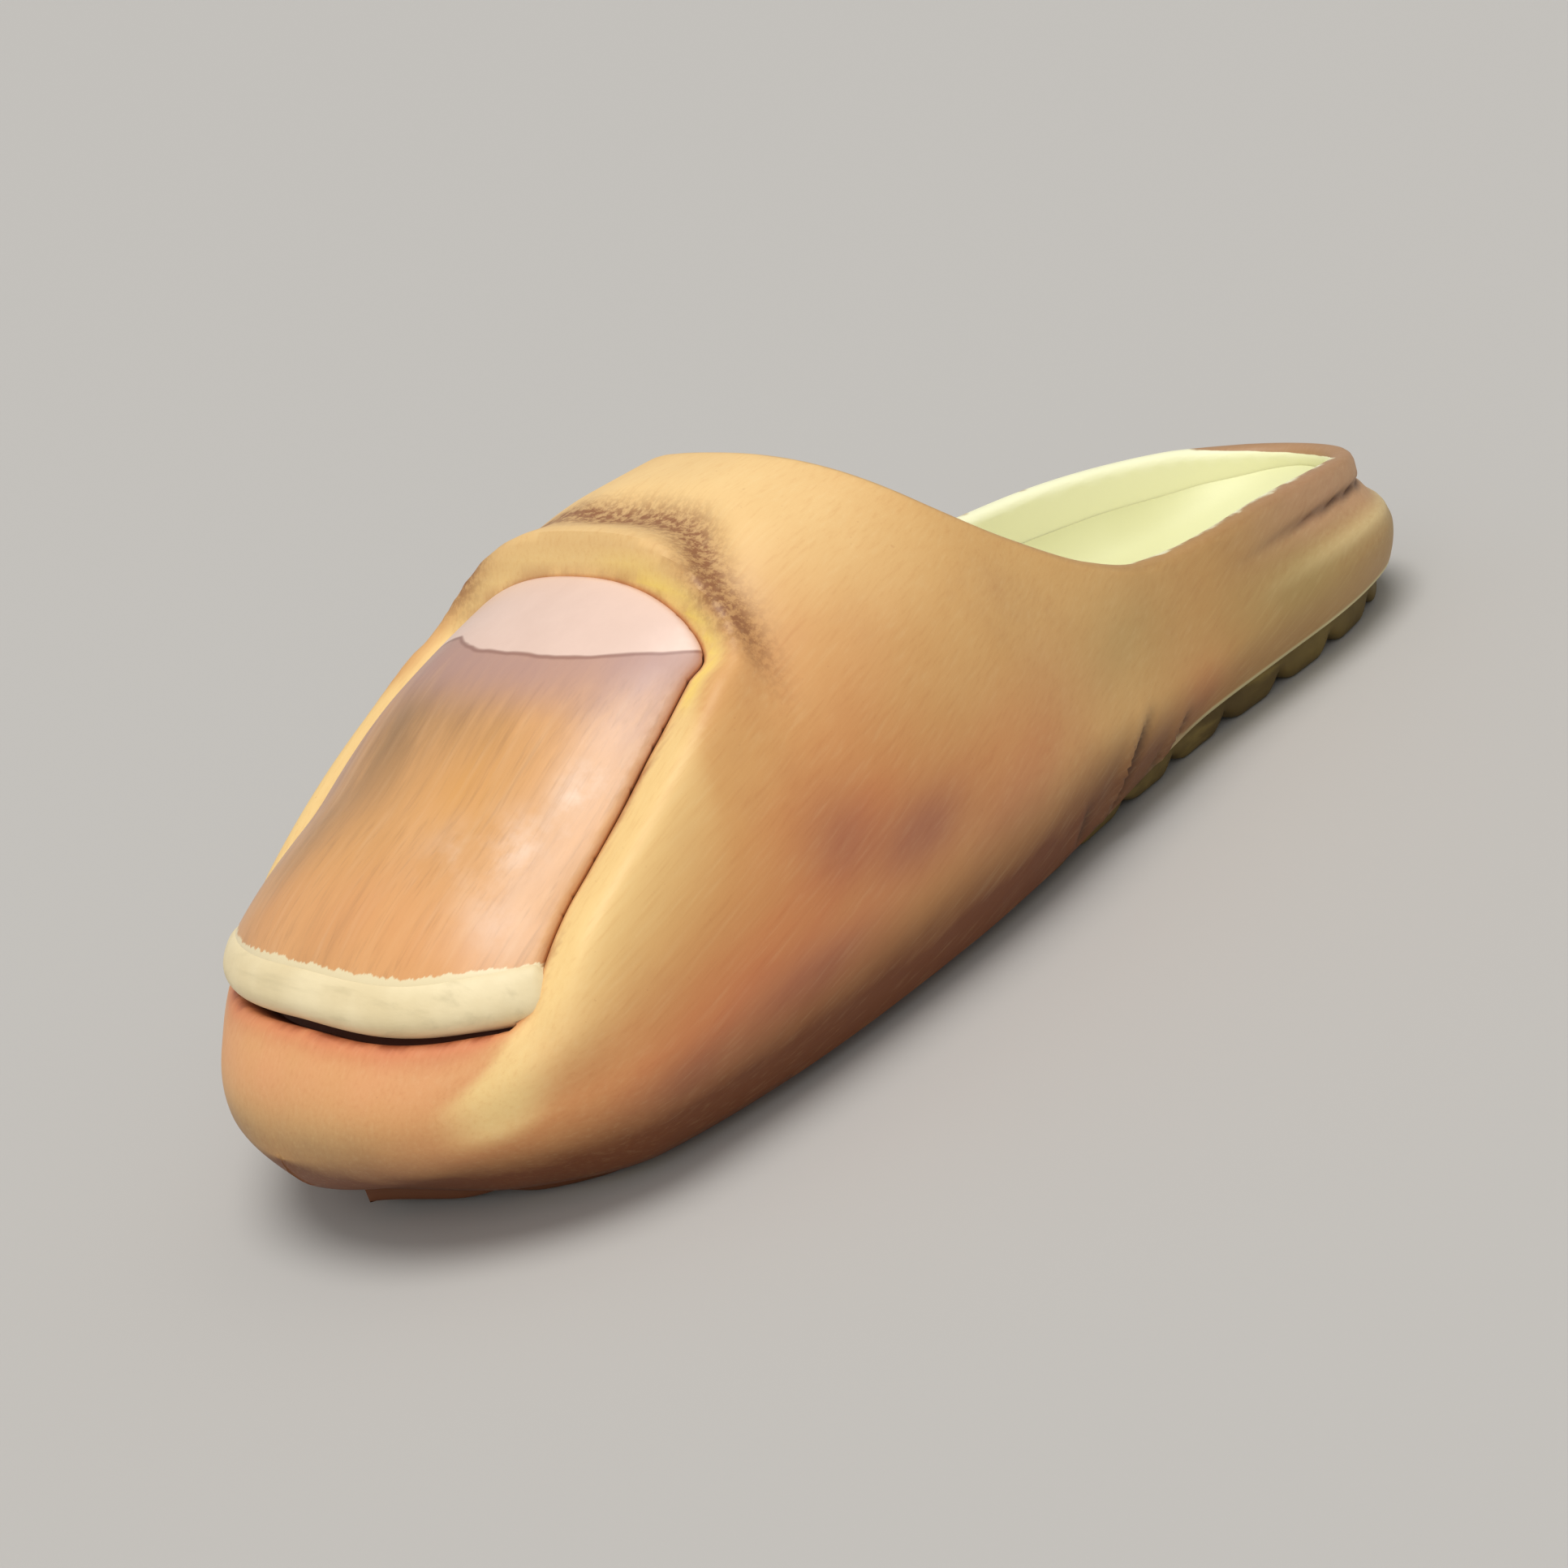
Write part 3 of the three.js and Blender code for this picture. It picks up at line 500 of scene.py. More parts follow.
class Skin:
    """Places on the skin, with everything that the relief, the cuts and the paint need."""

    def __init__(self, turn, side, level):
        self.turn = turn
        self.side = side
        self.level = level
        self.at = place_of(turn)
        self.plain = plain_skin(turn, side, level)
        self.normal = skin_normal(turn, side, level)
        self.wall = wall_thickness(self.at)
        x, y, z = self.plain.T
        self.behind = y - nail_back_y(x)
        self.reach = np.abs(x) / nail_half(NAIL_CORNER_AT, x)
        bow = mix(NAIL_BACK_AT, NAIL_CORNER_AT, np.minimum(self.reach, 1.2) ** 2)
        self.aft = y - lengthwise(bow)
        self.away = self.measure_away(x, y)
        self.ahead = self.measure_ahead(x)
        self.below_collar = collar_height(self.at) - COLLAR_TILT * x - z
        self.climb = (z - SEAM_HEIGHT) / (collar_height(self.at) - SEAM_HEIGHT)

    def measure_away(self, x, y):
        """Distance from the nail's outline and the fold lines, below zero inside them."""
        beside = np.abs(x) - fold_line(self.at, x)
        away = np.hypot(np.maximum(beside, 0), np.maximum(self.behind, 0))
        near = (away < NAIL_NEAR) & (self.level > -0.5)
        away[near] = distance_to(NAIL_OUTLINE, np.stack((x, y), axis=-1)[near])
        return np.where((beside < 0) & (self.behind < 0), -away, away)

    def measure_ahead(self, x):
        limit = nail_half(NAIL_FRONT_AT, x) * 1.02
        near = np.clip(x, -limit, limit)
        point, _, forward = tip_frame(near)
        return np.einsum("ij,ij->i", self.plain - point, forward)

    def pocket_side(self):
        """Below zero inside the nail's pocket, which runs on to the slit's front."""
        return np.maximum(self.away, self.ahead - SLIT_END)

    def lean(self):
        lean = HEEL_LEAN * ramp(HEEL_BELLY_LEVEL, HEEL_BAND_LEVEL, self.climb)
        lean *= ramp(LEAN_FROM, LEAN_TO, self.at)
        back = np.where(self.at > 0.5, np.maximum(self.normal[:, 1], 0) ** 2, 0)
        return -lean - HEEL_TUCK * (1 - ramp(0, HEEL_BELLY_LEVEL, self.climb)) * back

    def heel_relief(self):
        groove = GROOVE_DEPTH * bell((self.climb - GROOVE_LEVEL) / GROOVE_SPREAD)
        ridge = HEEL_RIDGE * bell((self.climb - RIDGE_LEVEL) / RIDGE_SPREAD)
        return (ridge - groove) * ramp(GROOVE_FROM, GROOVE_TO, self.at)

    def nail_relief(self):
        rear = ramp(-TROUGH_DISTANCE, FOLD_WIDTH, self.aft)
        height = mix(SIDE_FOLD_HEIGHT, BACK_FOLD_HEIGHT, rear)
        u = np.maximum(self.away, 0) / FOLD_WIDTH
        fold = height * (u * np.exp(1 - u)) ** FOLD_POWER
        fold *= ramp(FOLD_FADE_FROM, FOLD_FADE_TO, self.at)
        dip = np.maximum(nail_depth(self.at) - NAIL_LIP, 0) * ramp(FOLD_WIDTH, 0, self.away)
        trough = TROUGH_DEPTH * bell((self.away - self.trough_distance()) / TROUGH_SPREAD)
        trough *= ramp(CRESCENT_END_AT - 0.02, CRESCENT_FULL_AT, self.at)
        trough *= mix(1, FAR_TROUGH_SHARE, ramp(0, -FAR_TROUGH_REACH, self.plain[:, 0]))
        pad = PAD_DIP * ramp(PAD_EDGE, -PAD_EDGE, self.away) * ramp(0, SLIT_END, self.ahead)
        pad *= ramp(FOLD_FADE_FROM, FOLD_FADE_TO, self.at)
        fade = ramp(0, 0.2, self.level)
        return (fold - dip - trough - pad) * fade

    def trough_distance(self):
        corner = ramp(TROUGH_MIDDLE, TROUGH_CORNER, self.reach)
        return mix(TROUGH_DISTANCE, TROUGH_CORNER_DISTANCE, corner)

    def slit_relief(self):
        past = (self.ahead - SLIT_END) / SLIT_ROUND
        rim = SLIT_DROP * np.clip(1 - past, 0, 1) ** 2
        return -rim * ramp(PAD_EDGE, -PAD_EDGE, self.away)

    def crease_share(self):
        """How deep each place lies in the creases over the arch, in millimetres."""
        _, y, z = self.plain.T
        depth = np.zeros_like(y)
        for y0, z0, y1, z1, spread, deep in zip(*CREASES.values()):
            run = np.hypot(y1 - y0, z1 - z0)
            along = ((y - y0) * (y1 - y0) + (z - z0) * (z1 - z0)) / run
            off = ((y - y0) * (z1 - z0) - (z - z0) * (y1 - y0)) / run
            fade = ramp(-0.3 * run, 0.15 * run, along) * ramp(1.35 * run, 0.7 * run, along)
            trough = bell(off / spread) - CREASE_SIDE_HEIGHT * bell((off + 2 * spread) / spread)
            depth += deep * trough * fade
        return depth * (self.side > 0) * ramp(0, CREASE_FOOT, z - edge_height(self.at))

    def collar_lip(self, room):
        """How far the rim's rounding lies under the skin. Its edge ends in mid wall."""
        round_at = np.clip(self.below_collar, 0, RIM_ROUND)
        bend = RIM_ROUND - np.sqrt(RIM_ROUND ** 2 - (RIM_ROUND - round_at) ** 2)
        return np.where(self.below_collar < 0.01, room, np.minimum(bend, room))

    def outside(self):
        pocket = self.pocket_side()
        rise = self.heel_relief() + self.nail_relief() + self.slit_relief()
        rise -= self.crease_share()
        rise -= POCKET_ROUND_DROP * ramp(POCKET_ROUND, 0, pocket)
        floor = nail_depth(self.at) + NAIL_THICKNESS + FIT_GAP
        floor = mix(floor, SLIT_DEPTH, ramp(-7, -5, self.ahead))
        rise = np.where(pocket < -POCKET_WALL / 2, -floor, rise)
        rise -= self.collar_lip(self.wall / 2)
        return self.plain + self.normal * (self.lean() + rise)[:, None]

    def inside(self):
        depth = self.wall - self.collar_lip(self.wall / 2)
        points = self.plain + self.normal * (self.lean() - depth)[:, None]
        return self.straighten_foot(points)

    def straighten_foot(self, points):
        """Lets the lining's foot go down to the bottom edge."""
        bottom = np.full_like(self.turn, -1.0)
        edge = plain_skin(self.turn, self.side, bottom)
        foot = edge - skin_normal(self.turn, self.side, bottom) * self.wall[:, None]
        drop = foot[:, 2] - edge_height(share_at(foot[:, 1]))
        points[:, 2] -= drop * np.clip(-self.level, 0, 1) ** 4
        return points

    def lining(self, gap):
        depth = self.lean() - self.wall - gap
        return self.straighten_foot(self.plain + self.normal * depth[:, None])


def skin_at(params):
    """The skin at pairs of a turn and a place across, from -1 on the right to 1."""
    turn, across = params.T
    reach = np.abs(across)
    over = 1 - np.minimum(reach / ARCH_SHARE, 1) ** CROWN_SPREAD
    under = (ARCH_SHARE - reach) / (1 - ARCH_SHARE)
    return Skin(turn, np.where(across < 0, -1.0, 1.0), np.where(reach <= ARCH_SHARE, over, under))


# Meshes over the skin: a grid, lines cut into it, and a closed shell.

def grid(turns, across):
    rows, columns = len(turns), len(across)
    params = np.stack(np.meshgrid(turns, across, indexing="ij"), axis=-1).reshape(-1, 2)
    i, j = np.meshgrid(np.arange(rows - 1), np.arange(columns - 1), indexing="ij")
    a = (i * columns + j).ravel()
    b, c, d = a + 1, a + columns + 1, a + columns
    faces = np.concatenate((np.stack((a, b, c), 1), np.stack((a, c, d), 1)))
    return params, faces


def edges_of(faces):
    pairs = np.concatenate((faces[:, (0, 1)], faces[:, (1, 2)], faces[:, (2, 0)]))
    return np.unique(np.sort(pairs, axis=1), axis=0)


def split(params, faces, fixed, field):
    """Cuts the faces along the field's zero line. Places close to the line move onto it."""
    values = field(skin_at(params))
    a, b = edges_of(faces).T
    crossing = values[a] * values[b] < 0
    a, b = a[crossing], b[crossing]
    share = values[a] / (values[a] - values[b])
    ends = np.concatenate((a, b))
    others = np.concatenate((b, a))
    shares = np.concatenate((share, 1 - share))
    near = (shares < SNAP) & ~fixed[ends]
    order = np.argsort(-shares[near])
    ends, others, shares = ends[near][order], others[near][order], shares[near][order]
    params = params.copy()
    moved = params[ends] + (params[others] - params[ends]) * shares[:, None]
    params[ends] = moved
    values[ends] = 0
    fixed = fixed.copy()
    fixed[ends] = True
    return cut_faces(params, faces, fixed, values)


def split_along(surface, measure, lines):
    """Cuts the surface along each line on which the measure has that value."""
    for line in lines:
        surface = split(*surface, lambda skin: measure(skin) - line)
    return surface


def cut_faces(params, faces, fixed, values):
    values = np.where(np.abs(values) < NOTHING, 0, values)
    pairs = edges_of(faces)
    crossing = values[pairs[:, 0]] * values[pairs[:, 1]] < 0
    a, b = pairs[crossing].T
    share = (values[a] / (values[a] - values[b]))[:, None]
    added = params[a] + (params[b] - params[a]) * share
    count = len(params)
    keys = a * count + b
    params = np.concatenate((params, added))
    fixed = np.concatenate((fixed, np.ones(len(added), bool)))

    def middle(p, q):
        key = np.minimum(p, q) * count + np.maximum(p, q)
        return count + np.searchsorted(keys, key)

    signs = np.sign(values[faces]).astype(int)
    mixed = (signs.max(1) > 0) & (signs.min(1) < 0)
    zeros = (signs == 0).sum(1)
    lone_sign = -np.sign(signs.sum(1))
    first = np.where(
        zeros > 0,
        np.argmax(signs == 0, axis=1),
        np.argmax(signs == lone_sign[:, None], axis=1),
    )
    turned = np.take_along_axis(faces, (first[:, None] + np.arange(3)) % 3, axis=1)
    two = turned[mixed & (zeros > 0)]
    three = turned[mixed & (zeros == 0)]
    z, p, q = two.T
    m = middle(p, q)
    lone, r, s = three.T
    m1, m2 = middle(lone, r), middle(lone, s)
    parts = (
        faces[~mixed],
        np.stack((z, p, m), 1),
        np.stack((z, m, q), 1),
        np.stack((lone, m1, m2), 1),
        np.stack((m1, r, s), 1),
        np.stack((m1, s, m2), 1),
    )
    return params, np.concatenate(parts), fixed


def keep(params, faces, field):
    """Keeps the faces on the side where the field is below zero."""
    values = field(skin_at(params))
    centre = values[faces].mean(1)
    faces = faces[centre < 0]
    used = np.unique(faces)
    place = np.zeros(len(params), int)
    place[used] = np.arange(len(used))
    return params[used], place[faces]


def at_ends(params):
    """The places on the line at the toe's tip or at the heel's back, where sides meet."""
    return np.abs(params[:, 0] - 0.5) > 0.5 - NOTHING


def shell(faces, params):
    """Faces of a closed body from an outer and an inner copy of one open surface."""
    count = len(params)
    directed = np.concatenate((faces[:, (0, 1)], faces[:, (1, 2)], faces[:, (2, 0)]))
    forth = directed[:, 0] * count + directed[:, 1]
    back = directed[:, 1] * count + directed[:, 0]
    joined = at_ends(params)[directed].all(axis=1)
    a, b = directed[~np.isin(forth, back) & ~joined].T
    inner = faces[:, ::-1] + count
    wall_one = np.stack((b, a, a + count), 1)
    wall_two = np.stack((b, a + count, b + count), 1)
    return np.concatenate((faces, inner, wall_one, wall_two))


def loft(rings):
    """Closed body from rings of the same number of points, with flat ends."""
    rows, columns = rings.shape[:2]
    i, j = np.meshgrid(np.arange(rows - 1), np.arange(columns), indexing="ij")
    a = (i * columns + j).ravel()
    b = (i * columns + (j + 1) % columns).ravel()
    c, d = b + columns, a + columns
    fan = np.arange(1, columns - 1)
    start = np.stack((np.zeros_like(fan), fan + 1, fan), 1)
    last = np.stack((np.zeros_like(fan), fan, fan + 1), 1) + (rows - 1) * columns
    sides = np.concatenate((np.stack((a, b, c), 1), np.stack((a, c, d), 1)))
    return rings.reshape(-1, 3), np.concatenate((sides, start, last))


def make_piece(name, points, faces, values=None):
    """A mesh object in metres, with a float attribute for each named list of values."""
    mesh = bpy.data.meshes.new(name)
    mesh.from_pydata((points * MM).tolist(), [], faces.tolist())
    for key, column in (values or {}).items():
        attribute = mesh.attributes.new(key, "FLOAT", "POINT")
        attribute.data.foreach_set("value", np.asarray(column, np.float32))
    body = bmesh.new()
    body.from_mesh(mesh)
    bmesh.ops.remove_doubles(body, verts=body.verts, dist=MERGE_DISTANCE)
    if body.calc_volume(signed=True) < 0:
        bmesh.ops.reverse_faces(body, faces=body.faces)
    body.to_mesh(mesh)
    body.free()
    mesh.shade_smooth()
    mesh.set_sharp_from_angle(angle=SHARP_ANGLE)
    piece = bpy.data.objects.new(name, mesh)
    bpy.context.scene.collection.objects.link(piece)
    return piece


# Paint that was brushed and sprayed on by hand: soft spots at places of the near side,
# which the far side repeats. The deep brown spots low under the toe's front and the arch
# are painted shade. A layer, the middle of the spot, its reach along each axis and its strength.
SPOTS = (
    # Deep brown low under the toe's front and under the arch: painted shade.
    ("low_shade", (12, -144, 22), (28, 7, 6), 0.5),
    ("low_shade", (37, 62, 11), (14, 30, 6), 0.4),
    # Light yellow on the knuckle and the toe's front: yellow paint with painted highlight.
    ("pale_and_highlight", (8, -28, 92), (34, 26, 30), 0.75),
    ("pale_and_highlight", (38, -20, 80), (24, 18, 20), 0.3),
    ("warm", (49, -42, 66), (22, 26, 16), 0.35),
    ("warm", (57, -52, 40), (30, 24, 15), 0.75),
    ("warm", (57, -75, 26), (30, 30, 13), 0.8),
    ("warm", (50, -10, 32), (30, 26, 14), 0.55),
    ("warm", (56, -100, 22), (30, 22, 10), 0.7),
    ("warm", (40, -126, 24), (26, 18, 10), 0.5),
    ("warm", (40, 52, 14), (16, 9, 7), 0.5),
    ("mauve", (57, -55, 40), (22, 9, 8), 0.5),
    ("mauve", (57, -38, 32), (22, 13, 7), 0.7),
    ("mauve", (59, -70, 22), (22, 18, 6), 0.6),
    ("mauve", (57, -97, 18), (22, 12, 5), 0.5),
    ("mauve", (50, -15, 24), (22, 18, 7), 0.35),
    ("mauve", (20, -140, 20), (26, 12, 6), 0.4),
    ("peach", (30, -132, 34), (26, 14, 7), 0.9),
    ("peach", (0, -138, 34), (26, 14, 8), 0.9),
    ("pale_and_highlight", (12, -142, 24), (14, 8, 5), 0.35),
    ("olive", (36, 90, 22), (20, 24, 9), 0.6),
    ("olive", (10, 138, 20), (30, 14, 9), 0.8),
    ("olive", (46, 30, 36), (20, 18, 10), 0.4),
    ("low_shade", (42, 22, 10), (20, 16, 9), 0.5),
    ("low_shade", (36, 38, 6), (16, 9, 6), 0.6),
)
LAYERS = ("pale_and_highlight", "warm", "mauve", "peach", "olive", "low_shade")

# The same for the nail, in plan. Its whitish spots on the near half are painted highlight.
NAIL_SPOTS = (
    ("pearl_highlight", (39, -89), (5, 7), 0.9),
    ("pearl_highlight", (34, -101), (6, 5), 0.8),
    ("pearl_highlight", (41, -76), (5, 9), 0.5),
    ("pearl_highlight", (38, -112), (7, 5), 0.45),
    ("pearl_highlight", (24, -106), (9, 5), 0.35),
    ("olive", (-12, -86), (13, 15), 0.75),
    ("olive", (8, -84), (10, 8), 0.4),
    ("olive", (-24, -104), (8, 16), 0.6),
    ("amber", (14, -98), (16, 12), 0.7),
    ("amber", (-4, -112), (14, 9), 0.5),
    ("peach", (20, -120), (28, 9), 0.75),
    ("peach", (-14, -122), (14, 7), 0.4),
    ("mauve", (36, -66), (11, 12), 0.7),
    ("mauve", (-18, -74), (16, 8), 0.6),
    ("mauve", (10, -76), (20, 5), 0.6),
    ("mauve", (-36, -84), (8, 30), 0.6),
)
NAIL_LAYERS = ("amber", "olive", "peach", "mauve", "pearl_highlight")


def spots(points, table_of_spots, layer):
    total = np.zeros(len(points))
    for name, middle, reach, strength in table_of_spots:
        if name == layer:
            off = (points - middle) / reach
            total = 1 - (1 - total) * (1 - strength * np.exp(-(off ** 2).sum(1)))
    return total


def skin_paint(skin):
    """Layers of paint on the skin, each from 0 to 1, painted shade and highlight among them, and
    places that the nodes need.
    """
    x = skin.plain[:, 0]
    folded = np.column_stack((np.abs(x), skin.plain[:, 1:]))
    paint = {layer: spots(folded, SPOTS, layer) for layer in LAYERS}
    front = ramp(0.1, 0.06, skin.at)
    step = skin.away - STEP_SHIFT * front
    reach_out = mix(13, 3.5, ramp(-12, 0, skin.aft)) + STEP_SHIFT * front
    beside_nail = ramp(reach_out, 1.5, skin.away) * ramp(-0.4, 0.5, step)
    along_nail = ramp(0.03, 0.06, skin.at)
    near_level = ramp(mix(0.02, -0.25, front), mix(0.3, 0.1, front), skin.level)
    paint["cream"] = beside_nail * along_nail * near_level
    inner = ramp(0.2, 0.8, skin.away) * ramp(3.2, 1.0, skin.away)
    paint["gleam"] = inner * ramp(-6, -2, skin.aft) * ramp(0, 25, x)
    crescent = bell((skin.away - skin.trough_distance() + 1) / CRESCENT_SPREAD)
    paint["crescent"] = crescent * ramp(CRESCENT_END_AT, CRESCENT_FULL_AT, skin.at)
    paint["outline"] = bell((skin.pocket_side() - 0.2) / 0.7) * mix(1, 0.4, ramp(-6, -1, skin.aft))
    # Deep brown under the belly, darker towards the bottom: partly the brown paint, partly painted
    # shade.
    under = np.clip(-skin.level, 0, 1)
    paint["under"] = ramp(0.0, 0.85, under) * ramp(0.74, 0.6, skin.at)
    paint["rim_band"] = ramp(16, 8, skin.below_collar) * ramp(0.72, 0.86, skin.at)
    # A deep brown line along the heel's groove: painted shade in the groove.
    paint["groove"] = np.clip(-skin.heel_relief() / GROOVE_DEPTH, 0, 1)
    # Light line along the heel's ridge: painted highlight.
    paint["ridge"] = np.clip(skin.heel_relief() / HEEL_RIDGE, 0, 1)
    # Brown lines in the creases over the arch: painted shade.
    paint["crease_shade"] = np.clip(skin.crease_share() / CREASE_FULL, 0, 1)
    foot = skin.plain[:, 2] - edge_height(skin.at)
    paint["seam"] = ramp(1.3, 0.7, foot) * ramp(0.6, 0.7, skin.at)
    paint["slit"] = ramp(6, 0, skin.ahead - SLIT_END) * ramp(1, -1, skin.away)
    # Deep brown in the nail's pocket and gap: painted shade in the recess.
    paint["pocket"] = ramp(0, -0.3, skin.pocket_side())
    paint["collar_edge"] = ramp(2.6, 0.6, skin.below_collar)
    # The heel darker towards the back: painted shade.
    paint["heel"] = ramp(0.58, 0.9, skin.at)
    return paint


def past_rim(skin):
    return -skin.below_collar


def make_upper():
    shares = np.linspace(0, 1, SKIN_RINGS + 1)
    turns = shares + RING_EVENNESS * np.sin(2 * math.pi * shares) / (2 * math.pi)
    params, faces = grid(turns, np.linspace(-1, 1, SKIN_COLUMNS + 1))
    fixed = at_ends(params) | (np.abs(params[:, 1]) >= 1)
    params, faces, fixed = split(params, faces, fixed, past_rim)
    params, faces = keep(params, faces, past_rim)
    fixed = at_ends(params) | (np.abs(params[:, 1]) >= 1)
    fixed |= np.abs(past_rim(skin_at(params))) < ON_CUT
    surface = split_along((params, faces, fixed), lambda skin: skin.below_collar, RIM_LINES)
    surface = split_along(surface, Skin.pocket_side, (0, -POCKET_WALL, POCKET_ROUND))
    params, faces, _ = surface
    skin = skin_at(params)
    paint = skin_paint(skin)
    over_lip = RIM_PAINT * ramp(0.93, 0.995, skin.at)
    over_lip -= FAR_RIM_BARE * ramp(0, -FAR_RIM_REACH, skin.plain[:, 0])
    columns = {key: np.concatenate((value, value)) for key, value in paint.items()}
    below = np.maximum(skin.below_collar, 0)
    columns["lining"] = np.concatenate((-below - over_lip, below - over_lip))
    points = np.concatenate((skin.outside(), skin.inside()))
    return make_piece("skin_shell", points, shell(faces, params), columns)


def nail_edge(skin):
    """Below zero on the nail's plate, with room round it."""
    return np.maximum(skin.away + PLATE_GAP, skin.ahead + PLATE_FRONT)


def make_nail():
    first = turn_of(NAIL_TIP_AT - NAIL_GRID_MARGIN_FRONT)
    last = turn_of(NAIL_BACK_AT + NAIL_GRID_MARGIN_BACK)
    across = np.linspace(-1, 1, NAIL_COLUMNS + 1) * NAIL_GRID_REACH
    params, faces = grid(np.linspace(first, last, NAIL_RINGS + 1), across)
    fixed = np.zeros(len(params), bool)
    params, faces, fixed = split(params, faces, fixed, nail_edge)
    params, faces = keep(params, faces, nail_edge)
    fixed = np.abs(nail_edge(skin_at(params))) < ON_CUT
    params, faces, _ = split_along((params, faces, fixed), nail_edge, PLATE_LINES)
    skin = skin_at(params)
    inner = np.clip(1 + nail_edge(skin) / PLATE_ROUND, 0, 1)
    drop = PLATE_ROUND_DROP * (1 - np.sqrt(1 - inner ** 2))
    off_middle = np.clip(np.abs(skin.plain[:, 0]) / PLATE_ARCH_REACH, 0, 1)
    arch = PLATE_ARCH * (1 - off_middle ** 2)
    depth = nail_depth(skin.at) + drop - arch
    lean = skin.lean()
    top = skin.plain + skin.normal * (lean - depth)[:, None]
    depth = nail_depth(skin.at) + NAIL_THICKNESS
    bottom = skin.plain + skin.normal * (lean - depth)[:, None]
    x, y = skin.plain[:, 0], skin.plain[:, 1]
    plan = skin.plain[:, :2]
    paint = {layer: spots(plan, NAIL_SPOTS, layer) for layer in NAIL_LAYERS}
    paint["away"] = skin.away
    paint["ahead"] = skin.ahead
    bow = np.maximum((x - LUNULA_MIDDLE) / LUNULA_REACH, LUNULA_FAR_END) ** 2
    paint["lunula"] = y - LUNULA_FRONT - LUNULA_BOW * (bow + bow ** 2)
    columns = {key: np.concatenate((value, value)) for key, value in paint.items()}
    points = np.concatenate((top, bottom))
    return make_piece("toenail", points, shell(faces, params), columns)


def make_band():
    right = -nail_half(NAIL_FRONT_AT, np.array(-1.0)) + TIP_END_GAP
    left = nail_half(NAIL_FRONT_AT, np.array(1.0)) + TIP_END_REACH
    x = mix(right, left, np.linspace(0, 1, BAND_STATIONS + 1))
    point, out, forward = tip_frame(x)
    reach = np.abs(x) / nail_half(NAIL_FRONT_AT, x)
    sink = TIP_SINK + TIP_END_SINK * reach ** 3
    centre = point - out * sink[:, None]
    from_end = np.minimum(x - right, left - x)
    size = 1 - TIP_END_SHRINK * np.clip(1 - from_end / TIP_END_ROUND, 0, 1) ** 2
    angle = -2 * math.pi * np.arange(BAND_SIDES) / BAND_SIDES
    c, s = np.cos(angle), np.sin(angle)
    u = np.sign(c) * np.abs(c) ** (2 / TIP_POWER) * TIP_LENGTH / 2
    v = np.sign(s) * np.abs(s) ** (2 / TIP_POWER) * TIP_THICKNESS / 2
    rings = centre[:, None] + forward[:, None] * (size[:, None] * u)[..., None]
    rings = rings + out[:, None] * (size[:, None] * v)[..., None]
    points, faces = loft(rings)
    columns = {
        "raised": np.broadcast_to(v, (len(x), BAND_SIDES)).ravel(),
        "across": np.repeat(x / PLATE_ARCH_REACH, BAND_SIDES),
    }
    return make_piece("toenail_edge", points, faces, columns)


def bed_surface(x, at):
    widest = np.minimum(at, HEEL_CENTRE_AT)
    across = np.abs(x) / (half_width(widest, x) - wall_thickness(at))
    room = lengthwise(1) - HEEL_WALL - lengthwise(HEEL_CENTRE_AT)
    back = np.maximum(lengthwise(at) - lengthwise(HEEL_CENTRE_AT), 0) / room
    reach = np.minimum(np.hypot(across, back), CUP_LIMIT)
    rise = mix(FORE_CUP_RISE, HEEL_CUP_RISE, ramp(WAIST_FROM, WAIST_TO, at))
    return bed_height(at) + rise * reach ** CUP_POWER


def bed_fillet(at):
    """How far the footbed runs up the lining."""
    return BED_FILLET_RISE * ramp(0.97, 0.85, at) * ramp(0.3, 0.5, at)


def bed_contact(turn, side):
    """Level at which the footbed's surface meets the lining."""
    low = np.full_like(turn, -1.0)
    high = np.full_like(turn, 0.6)
    for _ in range(20):
        level = (low + high) / 2
        point = Skin(turn, side, level).lining(FIT_GAP)
        at = share_at(point[:, 1])
        above = point[:, 2] > bed_surface(point[:, 0], at) + bed_fillet(at)
        high = np.where(above, level, high)
        low = np.where(above, low, level)
    return level


def make_footbed():
    turn = np.linspace(0.004, 0.996, BED_RINGS + 1)
    halves = []
    for side in (-1.0, 1.0):
        sides = np.full_like(turn, side)
        contact = bed_contact(turn, sides)
        steps = np.linspace(0, 1, BED_SIDE_STEPS + 1)
        levels = mix(contact[:, None], -1.0, steps)
        points = [Skin(turn, sides, column).lining(FIT_GAP) for column in levels.T]
        halves.append(np.stack(points, axis=1))
    right, left = halves
    shares = (1 - np.cos(math.pi * np.linspace(0, 1, BED_COLUMNS + 1)))[1:-1] / 2
    start, end = left[:, :1], right[:, :1]
    surface = start + (end - start) * shares[None, :, None]
    x, y = surface[..., 0], surface[..., 1]
    height = bed_surface(x.ravel(), share_at(y.ravel())).reshape(x.shape)
    span = np.linalg.norm(end - start, axis=-1)
    from_wall = np.minimum(shares, 1 - shares)[None, :] * span
    rise = bed_fillet(share_at(y)) * np.clip(1 - from_wall / BED_FILLET, 0, 1) ** 2
    surface[..., 2] = height + rise
    rings = np.concatenate((right, left[:, ::-1], surface), axis=1)
    points, faces = loft(rings)
    return make_piece("footbed_pad", points, faces)


def notch_at(y):
    place = (lengthwise(1) - LUG_START - y) / LUG_PITCH
    off = np.abs(place - np.floor(place) - 0.5) * 2
    return np.maximum((off - LUG_LAND) / (1 - LUG_LAND), 0) ** NOTCH_POWER


SOLE_FRONT = lengthwise(0) + TOE_WALL
SOLE_BACK = lengthwise(1) - HEEL_TUCK - SOLE_INSET


